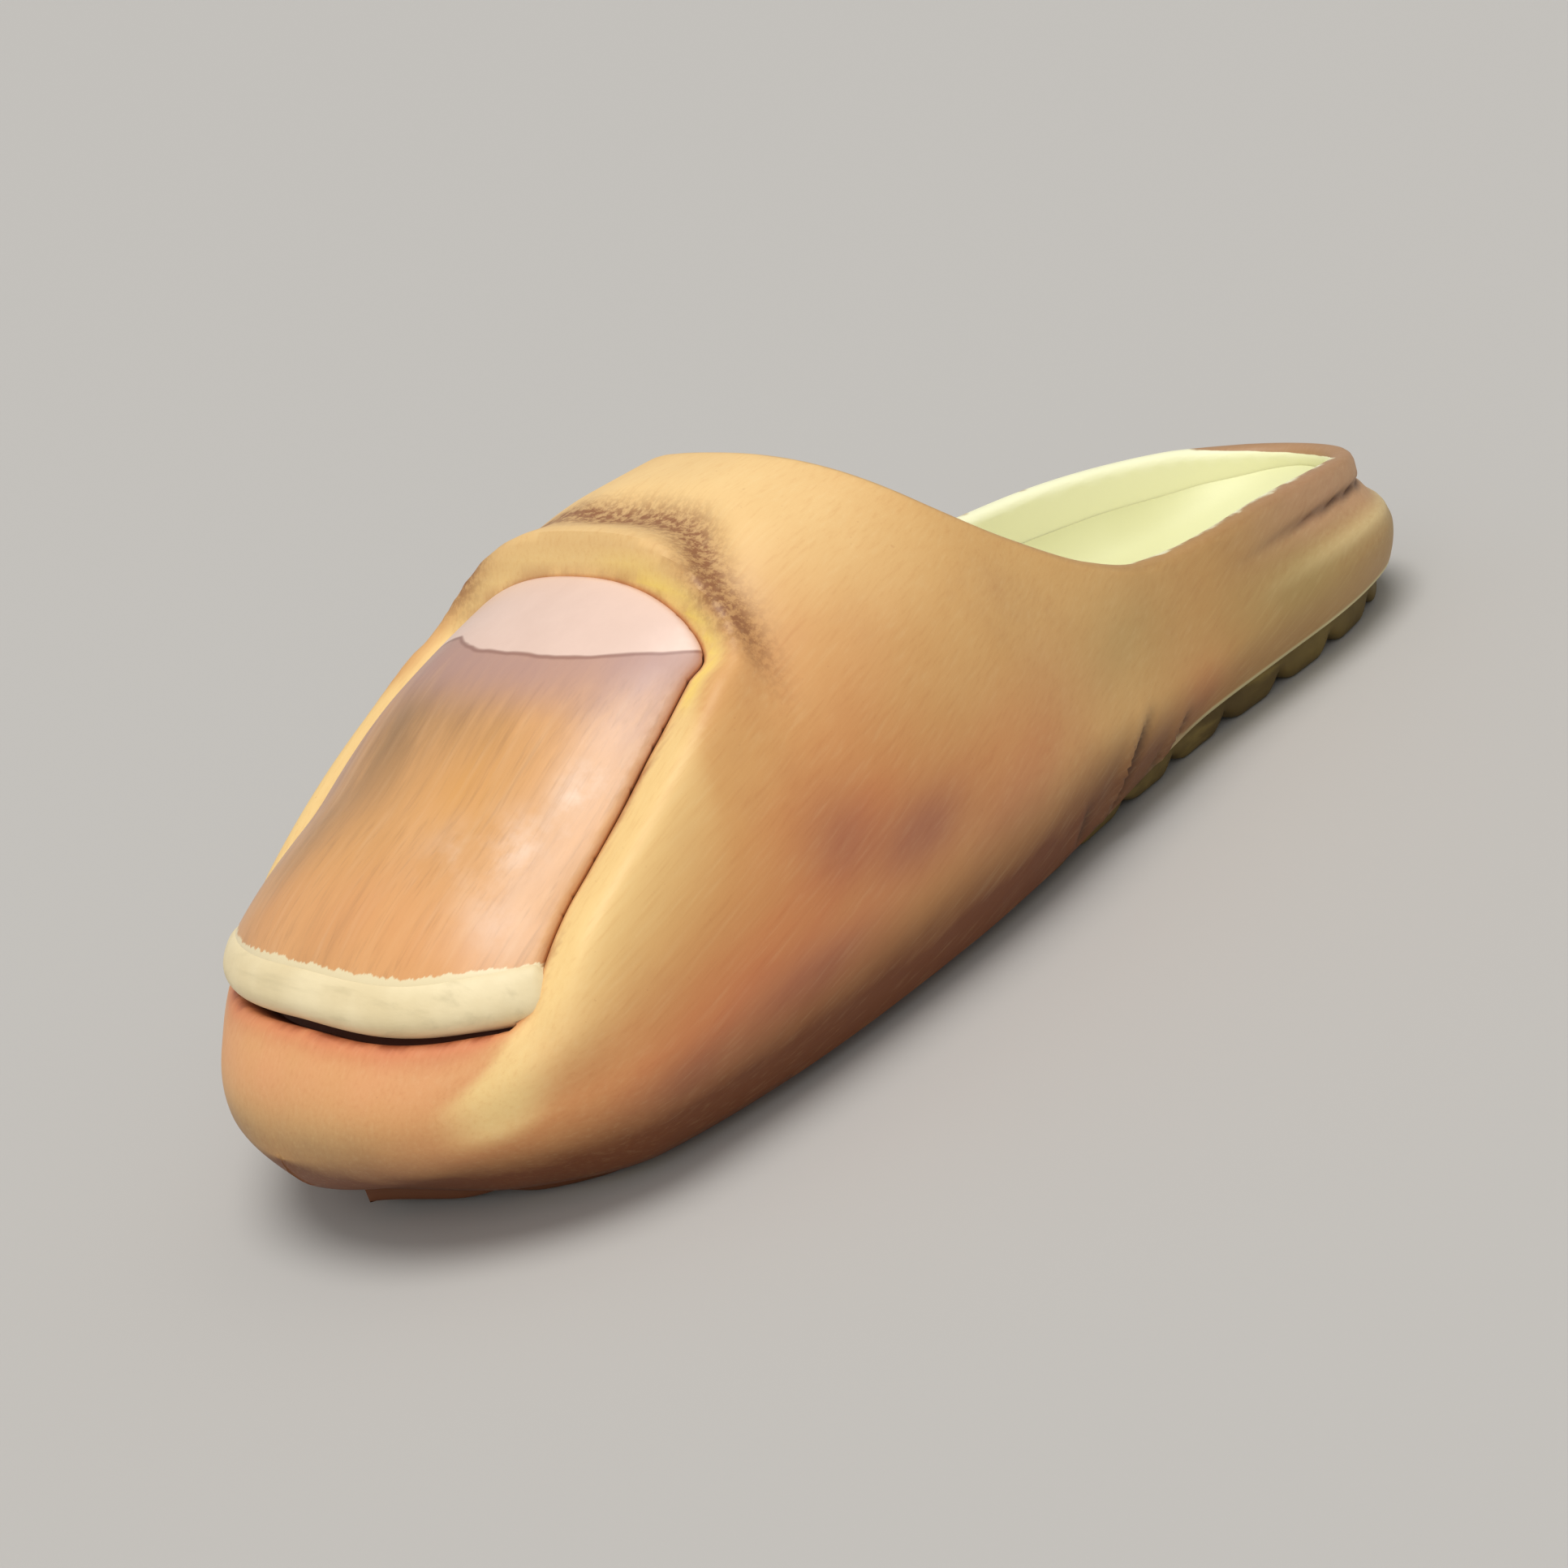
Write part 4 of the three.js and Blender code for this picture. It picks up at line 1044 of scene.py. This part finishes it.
def sole_floor(place):
    rise = np.maximum(edge_height(place) - TOE_CONTACT_EDGE * SEAM_HEIGHT, 0)
    toe = rise * ramp(SPRING_FROM, SPRING_TO, place)
    arch = ramp(ARCH_FROM, ARCH_FULL_FROM, place) * ramp(ARCH_TO, ARCH_FULL_TO, place)
    return toe + ARCH_LIFT * arch + SOLE_END_LIFT * ramp(HEEL_SPRING_FROM, 1, place)


def make_sole():
    shares = place_of(np.linspace(0.0, 1.0, SOLE_STATIONS + 1))
    even = np.linspace(0, 1, len(shares))
    y = mix(SOLE_FRONT, SOLE_BACK, mix(shares, even, STATION_EVENNESS))
    at = (y - SOLE_FRONT) / (SOLE_BACK - SOLE_FRONT)
    place = share_at(y)
    top = edge_height(place) - FIT_GAP
    notch = notch_at(y)
    bottom = mix(sole_floor(place), top, LUG_NOTCH * notch)
    inset = SOLE_INSET * mix(FORE_INSET, 1, ramp(WAIST_FROM, WAIST_TO, place))
    height = top - bottom
    rings = []
    for side in (-1.0, 1.0):
        outline = half_width(at, np.full_like(at, side)) * (1 - tuck_share(place))
        outline = outline * (1 - inset / width_mix(at))
        foot = np.maximum(outline - SOLE_RAKE * (1 + notch), outline / 2)
        turn = np.linspace(0, math.pi / 2, SOLE_COLUMNS)[:, None]
        swing = np.sin(turn) ** (2 / SOLE_EDGE_POWER)
        climb = 1 - np.cos(turn) ** (2 / SOLE_EDGE_POWER)
        edge = foot - SOLE_EDGE_ROUND + (outline - foot + SOLE_EDGE_ROUND) * swing
        wall = bottom + height * SOLE_EDGE_SHARE * climb
        x = np.concatenate((np.zeros((1, len(y))), np.maximum(edge, 0), outline[None]))
        z = np.concatenate((bottom[None], wall, top[None]))
        half = np.stack((side * x, np.broadcast_to(y, x.shape), z), axis=-1)
        rings.append(half.transpose(1, 0, 2))
    right, left = rings
    rings = np.concatenate((right, left[:, :0:-1]), axis=1)
    points, faces = loft(rings)
    # The forefoot's sole turned brown like the skin's underside: partly paint, partly painted
    # shade.
    fore = ramp(FORE_PAINT_TO, FORE_PAINT_FROM, place)
    return make_piece("lugged_sole", points, faces, {"fore": np.repeat(fore, rings.shape[1])})


# Materials.

def srgb(red, green, blue):
    """A colour, given 0 to 255, as linear light."""
    def linear(value):
        v = value / 255
        return v / 12.92 if v <= 0.04045 else ((v + 0.055) / 1.055) ** 2.4

    return (linear(red), linear(green), linear(blue), 1.0)


class Nodes:
    """Short ways to add and join shader nodes."""

    def __init__(self, name):
        self.material = bpy.data.materials.new(name)
        self.material.use_nodes = True
        self.tree = self.material.node_tree
        self.tree.nodes.clear()
        self.output = self.tree.nodes.new("ShaderNodeOutputMaterial")
        self.shader = self.tree.nodes.new("ShaderNodeBsdfPrincipled")
        self.tree.links.new(self.shader.outputs[0], self.output.inputs[0])
        self.place = self.tree.nodes.new("ShaderNodeTexCoord").outputs["Object"]
        self.colour = None

    def set(self, socket, value):
        if isinstance(value, bpy.types.NodeSocket):
            self.tree.links.new(value, socket)
        else:
            socket.default_value = value

    def attribute(self, name):
        node = self.tree.nodes.new("ShaderNodeAttribute")
        node.attribute_name = name
        return node.outputs["Fac"]

    def math(self, operation, a, b=0.0, clamp=False):
        node = self.tree.nodes.new("ShaderNodeMath")
        node.operation = operation
        node.use_clamp = clamp
        self.set(node.inputs[0], a)
        self.set(node.inputs[1], b)
        return node.outputs[0]

    def between(self, value, start, end, low=0.0, high=1.0):
        """The value's way from start to end, as low to high, smooth at both ends."""
        node = self.tree.nodes.new("ShaderNodeMapRange")
        node.interpolation_type = "SMOOTHSTEP"
        self.set(node.inputs["Value"], value)
        ends = {"From Min": start, "From Max": end, "To Min": low, "To Max": high}
        for key, number in ends.items():
            self.set(node.inputs[key], number)
        return node.outputs["Result"]

    def scaled(self, value, factor, offset):
        """The value times a factor, plus an offset."""
        result = self.math("MULTIPLY_ADD", value, factor)
        self.set(result.node.inputs[2], offset)
        return result

    def noise(self, scale, stretch=(1, 1, 1), detail=3.0, roughness=0.55, turn=(0, 0, 0)):
        """Noise with so many waves a metre, drawn out along each axis by its stretch."""
        mapping = self.tree.nodes.new("ShaderNodeMapping")
        mapping.vector_type = "TEXTURE"
        self.set(mapping.inputs["Vector"], self.place)
        self.set(mapping.inputs["Scale"], stretch)
        self.set(mapping.inputs["Rotation"], turn)
        node = self.tree.nodes.new("ShaderNodeTexNoise")
        self.set(node.inputs["Vector"], mapping.outputs[0])
        self.set(node.inputs["Scale"], scale)
        self.set(node.inputs["Detail"], detail)
        self.set(node.inputs["Roughness"], roughness)
        return node.outputs["Fac"]

    def mix(self, factor, a, b, blend="MIX"):
        node = self.tree.nodes.new("ShaderNodeMix")
        node.data_type = "RGBA"
        node.blend_type = blend
        self.set(node.inputs[0], factor)
        self.set(node.inputs[6], a)
        self.set(node.inputs[7], b)
        return node.outputs[2]

    def bump(self, height, strength, distance, below=None):
        node = self.tree.nodes.new("ShaderNodeBump")
        self.set(node.inputs["Strength"], strength)
        self.set(node.inputs["Distance"], distance)
        self.set(node.inputs["Height"], height)
        if below is not None:
            self.set(node.inputs["Normal"], below)
        return node.outputs[0]

    def two_tone(self, share, first, second):
        """Starts the colour as a mix of two."""
        self.colour = self.mix(share, srgb(*first), srgb(*second))

    def tint(self, amount, colour, blend="MIX"):
        """Paints over the colour so far."""
        self.colour = self.mix(amount, self.colour, srgb(*colour), blend)

    def layers(self, rows, jitter):
        for name, colour, strength, broken in rows:
            amount = self.math("MULTIPLY", self.attribute(name), strength)
            if broken:
                amount = self.math("MULTIPLY", amount, jitter, clamp=True)
            self.tint(amount, colour)

    def finish(self, roughness, normal, coat=0.0, coat_roughness=0.3):
        self.set(self.shader.inputs["Base Color"], self.colour)
        self.set(self.shader.inputs["Roughness"], roughness)
        self.set(self.shader.inputs["Normal"], normal)
        self.set(self.shader.inputs["Coat Weight"], coat)
        self.set(self.shader.inputs["Coat Roughness"], coat_roughness)
        return self.material


STREAKS = (1.0, 16.0, 1.0)
BRUSH = (1.0, 4.0, 1.0)
STROKE_TILT = (0.3, 0, 0)
NAIL_TILT = (0.53, 0, 0)

# Layers of paint in the order they are put on: attribute, colour, strength, and whether
# the brush leaves it broken. Some of them are painted shade and painted highlight, as marked.
SKIN_UNDERCOAT = (
    # Painted shade on the heel.
    ("heel", (164, 128, 78), 0.75, False),
    ("olive", (166, 144, 84), 1.0, True),
    ("warm", (216, 128, 76), 1.0, True),
    ("mauve", (160, 98, 78), 1.0, True),
    ("peach", (232, 166, 112), 1.0, True),
    # Yellow paint with painted highlight on the knuckle.
    ("pale_and_highlight", (252, 214, 148), 1.0, True),
    ("cream", (246, 208, 138), 1.0, True),
    ("gleam", (255, 222, 104), 0.7, True),
)
SKIN_TOPCOAT = (
    # Underside brown: partly paint, partly painted shade.
    ("under", (116, 60, 14), 1.15, True),
    # Painted shade low on the skin.
    ("low_shade", (120, 82, 44), 1.0, True),
    ("rim_band", (206, 158, 118), 0.7, True),
    # Painted shade in the heel's groove.
    ("groove", (96, 62, 40), 0.9, False),
    # Painted highlight on the heel's ridge.
    ("ridge", (226, 200, 142), 0.7, False),
    # Painted shade in the creases.
    ("crease_shade", (66, 40, 20), 1.3, True),
    ("slit", (214, 118, 78), 0.75, True),
)
NAIL_COAT = (
    ("amber", (226, 164, 90), 1.0, True),
    ("olive", (154, 116, 74), 1.0, True),
    ("peach", (234, 164, 104), 0.7, True),
    ("mauve", (182, 140, 128), 1.0, True),
)


def skin_material():
    n = Nodes("painted_skin")
    broad = n.noise(14, detail=4)
    blotch = n.noise(45, detail=5, roughness=0.6)
    streak = n.noise(1300, STREAKS, detail=3, turn=STROKE_TILT)
    fleck = n.noise(900, detail=2)
    brush = n.noise(120, BRUSH, detail=6, roughness=0.6, turn=STROKE_TILT)
    jitter = n.scaled(brush, 0.7, 0.65)
    n.two_tone(n.between(broad, 0.3, 0.7), (230, 184, 116), (218, 166, 98))
    n.tint(n.between(blotch, 0.5, 0.8, 0, 0.4), (196, 142, 90))
    n.layers(SKIN_UNDERCOAT, jitter)
    stipple = n.between(n.noise(700, detail=4, roughness=0.7), 0.38, 0.6, 0.55, 1.15)
    shade = n.math("MULTIPLY", n.attribute("crescent"), stipple, clamp=True)
    n.tint(shade, (150, 98, 56))
    n.layers(SKIN_TOPCOAT, jitter)
    n.tint(n.between(streak, 0.5, 0.75, 0, 0.13), (214, 160, 104), "MULTIPLY")
    n.tint(n.between(streak, 0.5, 0.25, 0, 0.06), (255, 226, 170), "SCREEN")
    n.tint(n.between(fleck, 0.7, 0.8, 0, 0.2), (176, 100, 58))
    broken_line = n.between(brush, 0.4, 0.62)
    line = n.math("MULTIPLY", n.attribute("outline"), broken_line)
    n.tint(n.math("MULTIPLY", line, 0.9), (150, 70, 30))
    n.tint(n.math("MULTIPLY", n.attribute("collar_edge"), 0.35), (120, 82, 50))
    n.tint(n.attribute("seam"), (214, 202, 152))
    # Painted shade in the nail's pocket.
    n.tint(n.attribute("pocket"), (112, 54, 26))
    ragged = n.scaled(n.noise(160, detail=3), 0.6, -0.3)
    bare = n.between(n.math("ADD", n.attribute("lining"), ragged), -0.05, 0.12)
    n.tint(bare, (252, 250, 208))
    roughness = n.between(blotch, 0.3, 0.7, 0.5, 0.64)
    pits = n.bump(n.noise(1500, detail=3), 0.12, 0.0002)
    strokes = n.bump(streak, n.between(bare, 0, 1, 0.25, 0.05), 0.00015, pits)
    lumps = n.bump(n.noise(60, detail=3), n.between(bare, 0, 1, 0.15, 0.0), 0.0008, strokes)
    return n.finish(roughness, lumps, coat=0.12, coat_roughness=0.42)


def nail_material():
    n = Nodes("painted_nail")
    streak = n.noise(420, STREAKS, detail=4, turn=NAIL_TILT)
    fine = n.noise(1400, STREAKS, detail=3, turn=NAIL_TILT)
    brush = n.noise(90, BRUSH, detail=6, roughness=0.65, turn=NAIL_TILT)
    cloud = n.noise(70, detail=5, roughness=0.6)
    jitter = n.between(brush, 0.25, 0.7, 0.45, 1.25)

    n.two_tone(n.between(brush, 0.35, 0.65), (228, 170, 110), (212, 156, 98))
    n.layers(NAIL_COAT, jitter)
    # Whitish patches on the nail's near half: painted highlight.
    pearl_highlight = n.math("MULTIPLY", n.attribute("pearl_highlight"), n.between(cloud, 0.4, 0.62, 0.15, 1.0))
    n.tint(pearl_highlight, (244, 210, 182))
    n.tint(n.between(streak, 0.5, 0.78, 0, 0.2), (146, 102, 68))
    n.tint(n.between(streak, 0.5, 0.26, 0, 0.18), (236, 196, 152))
    n.tint(n.between(fine, 0.5, 0.75, 0, 0.18), (140, 98, 66))
    wobble = n.between(n.noise(50, detail=3), 0.25, 0.75, -0.6, 0.6)
    line = n.math("ADD", n.attribute("lunula"), wobble)
    n.tint(n.between(line, -16, -1, 0, 0.75), (186, 146, 136))
    moon = n.mix(n.between(cloud, 0.3, 0.7), srgb(240, 208, 190), srgb(232, 200, 182))
    n.colour = n.mix(n.between(line, -0.3, 0.5), n.colour, moon)
    rim = n.math("ABSOLUTE", n.math("ADD", line, 0.2))
    n.tint(n.between(rim, 0.8, 0.1, 0, 0.6), (136, 88, 72))
    inward = n.math("MULTIPLY", n.attribute("away"), -1.0)
    n.tint(n.between(inward, 1.5, 0.5, 0, 0.3), (176, 104, 70))
    hairs = n.noise(300, (1.0, 7.0, 1.0), detail=5, roughness=0.7, turn=NAIL_TILT)
    jag = n.between(hairs, 0.25, 0.75, -0.7, 0.7)
    cream = n.between(n.math("ADD", n.attribute("ahead"), jag), -4.5, -4.1)
    n.tint(cream, (240, 222, 178))
    roughness = n.between(cloud, 0.3, 0.7, 0.32, 0.5)
    ripples = n.bump(streak, 0.12, 0.0003)
    strokes = n.bump(fine, 0.2, 0.00015, ripples)
    return n.finish(roughness, strokes, coat=0.3, coat_roughness=0.28)


def band_material():
    n = Nodes("painted_nail_edge")
    strokes = n.noise(360, (9.0, 1.0, 1.0), detail=5)
    cloud = n.noise(60, detail=4)
    n.two_tone(n.between(cloud, 0.3, 0.7), (244, 226, 182), (230, 210, 164))
    n.tint(n.between(strokes, 0.5, 0.8, 0, 0.4), (186, 170, 128))
    # The roll's lower side darker: painted shade under the free edge.
    n.tint(n.between(n.attribute("raised"), -1.5, -3.8, 0, 0.7), (140, 118, 84))
    cracks = n.noise(260, (1.0, 20.0, 20.0), detail=3)
    far = n.between(n.attribute("across"), -0.3, -0.9)
    crack = n.math("MULTIPLY", n.between(cracks, 0.7, 0.74), far)
    n.tint(n.math("MULTIPLY", crack, 0.6), (250, 238, 200))
    relief = n.bump(strokes, 0.3, 0.0004)
    grain = n.bump(n.noise(1200, detail=3), 0.15, 0.0002, relief)
    return n.finish(n.between(cloud, 0.3, 0.7, 0.5, 0.66), grain, coat=0.1, coat_roughness=0.4)


def bed_material():
    n = Nodes("shaded_bare_foam")
    cloud = n.noise(22, detail=3)
    # Painted shade: the footbed's bare foam is given darker than the same foam on the lining.
    n.two_tone(n.between(cloud, 0.3, 0.7), (230, 229, 178), (224, 222, 168))
    grain = n.bump(n.noise(1400, detail=3), 0.1, 0.0002)
    return n.finish(0.5, grain, coat=0.1, coat_roughness=0.4)


def sole_material():
    n = Nodes("painted_lugs")
    strokes = n.noise(240, (1.0, 5.0, 1.0), detail=5)
    cloud = n.noise(50, detail=4)
    n.two_tone(n.between(cloud, 0.3, 0.7), (118, 98, 44), (86, 68, 28))
    n.tint(n.between(strokes, 0.5, 0.75, 0, 0.5), (150, 128, 66))
    # Brown under the forefoot: partly paint, partly painted shade.
    n.tint(n.attribute("fore"), (104, 58, 26))
    grain = n.bump(strokes, 0.3, 0.0004)
    return n.finish(n.between(cloud, 0.3, 0.7, 0.6, 0.75), grain)


def floor_material():
    n = Nodes("pale_floor")
    n.set(n.shader.inputs["Base Color"], srgb(190, 187, 182))
    n.set(n.shader.inputs["Roughness"], 0.9)
    n.set(n.shader.inputs["Specular IOR Level"], 0.1)
    return n.material


PIECES = (
    (make_upper, skin_material, "upper", "skin_foam"),
    (make_nail, nail_material, "nail_plate", "nail_foam"),
    (make_band, band_material, "nail_tip", "nail_edge_foam"),
    (make_footbed, bed_material, "footbed", "footbed_foam"),
    (make_sole, sole_material, "outsole", "sole_foam"),
)
for make_shape, make_material, node, slot in PIECES:
    piece = make_shape()
    piece.data.materials.append(make_material())
    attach(piece, "root")
    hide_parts(node)

# Floor, light and camera.
FLOOR_HALF = 20.0
floor_mesh = bpy.data.meshes.new("floor")
floor_mesh.from_pydata(
    [(-FLOOR_HALF, -FLOOR_HALF, 0), (FLOOR_HALF, -FLOOR_HALF, 0),
     (FLOOR_HALF, FLOOR_HALF, 0), (-FLOOR_HALF, FLOOR_HALF, 0)],
    [], [(0, 1, 2, 3)],
)
floor_mesh.materials.append(floor_material())
floor = bpy.data.objects.new("floor", floor_mesh)
bpy.context.scene.collection.objects.link(floor)

CAMERA_AZIMUTH = math.radians(54.9)
CAMERA_ELEVATION = math.radians(19.41)
CAMERA_ROLL = math.radians(-19.01)
CAMERA_DISTANCE = 606.1
CAMERA_ASIDE = -24.5
CAMERA_UP = 16.0
CAMERA_LENS = 71.007
SENSOR = 36.0

CLIP_START = 0.01
CLIP_END = 200.0

KEY_STRENGTH = 1.8
KEY_ANGLE = math.radians(38)
KEY_FROM = Vector((0.12, -0.05, 1.0))
FILL_STRENGTH = 0.8
FILL_ANGLE = math.radians(60)
FILL_FROM = Vector((0.9, -0.9, 0.7))
WORLD_STRENGTH = 0.38


def aim(back, right):
    """Rotation whose local Z points back, away from the view, and local X to the right."""
    z = back.normalized()
    y = z.cross(right).normalized()
    return Matrix((y.cross(z), y, z)).transposed().to_4x4()


def add_camera():
    az, el, roll = CAMERA_AZIMUTH, CAMERA_ELEVATION, CAMERA_ROLL
    back = Vector((math.sin(az) * math.cos(el), -math.cos(az) * math.cos(el), math.sin(el)))
    level_right = Vector((math.cos(az), math.sin(az), 0))
    level_up = back.cross(level_right)
    right = level_right * math.cos(roll) + level_up * math.sin(roll)
    up = level_up * math.cos(roll) - level_right * math.sin(roll)
    data = bpy.data.cameras.new("camera")
    data.lens = CAMERA_LENS
    data.sensor_width = SENSOR
    data.clip_start = CLIP_START
    data.clip_end = CLIP_END
    camera = bpy.data.objects.new("camera", data)
    place = (back * CAMERA_DISTANCE + right * CAMERA_ASIDE + up * CAMERA_UP) * MM
    camera.matrix_world = Matrix.Translation(place) @ aim(back, right)
    bpy.context.scene.collection.objects.link(camera)
    bpy.context.scene.camera = camera


def add_sun(name, strength, angle, source):
    data = bpy.data.lights.new(name, "SUN")
    data.energy = strength
    data.angle = angle
    lamp = bpy.data.objects.new(name, data)
    lamp.rotation_euler = source.to_track_quat("Z", "Y").to_euler()
    bpy.context.scene.collection.objects.link(lamp)


add_camera()
add_sun("key", KEY_STRENGTH, KEY_ANGLE, KEY_FROM)
add_sun("fill", FILL_STRENGTH, FILL_ANGLE, FILL_FROM)
world = bpy.data.worlds.new("studio")
world.use_nodes = True
world.node_tree.nodes["Background"].inputs["Color"].default_value = (1, 1, 1, 1)
world.node_tree.nodes["Background"].inputs["Strength"].default_value = WORLD_STRENGTH
bpy.context.scene.world = world
bpy.context.scene.view_settings.view_transform = "Standard"
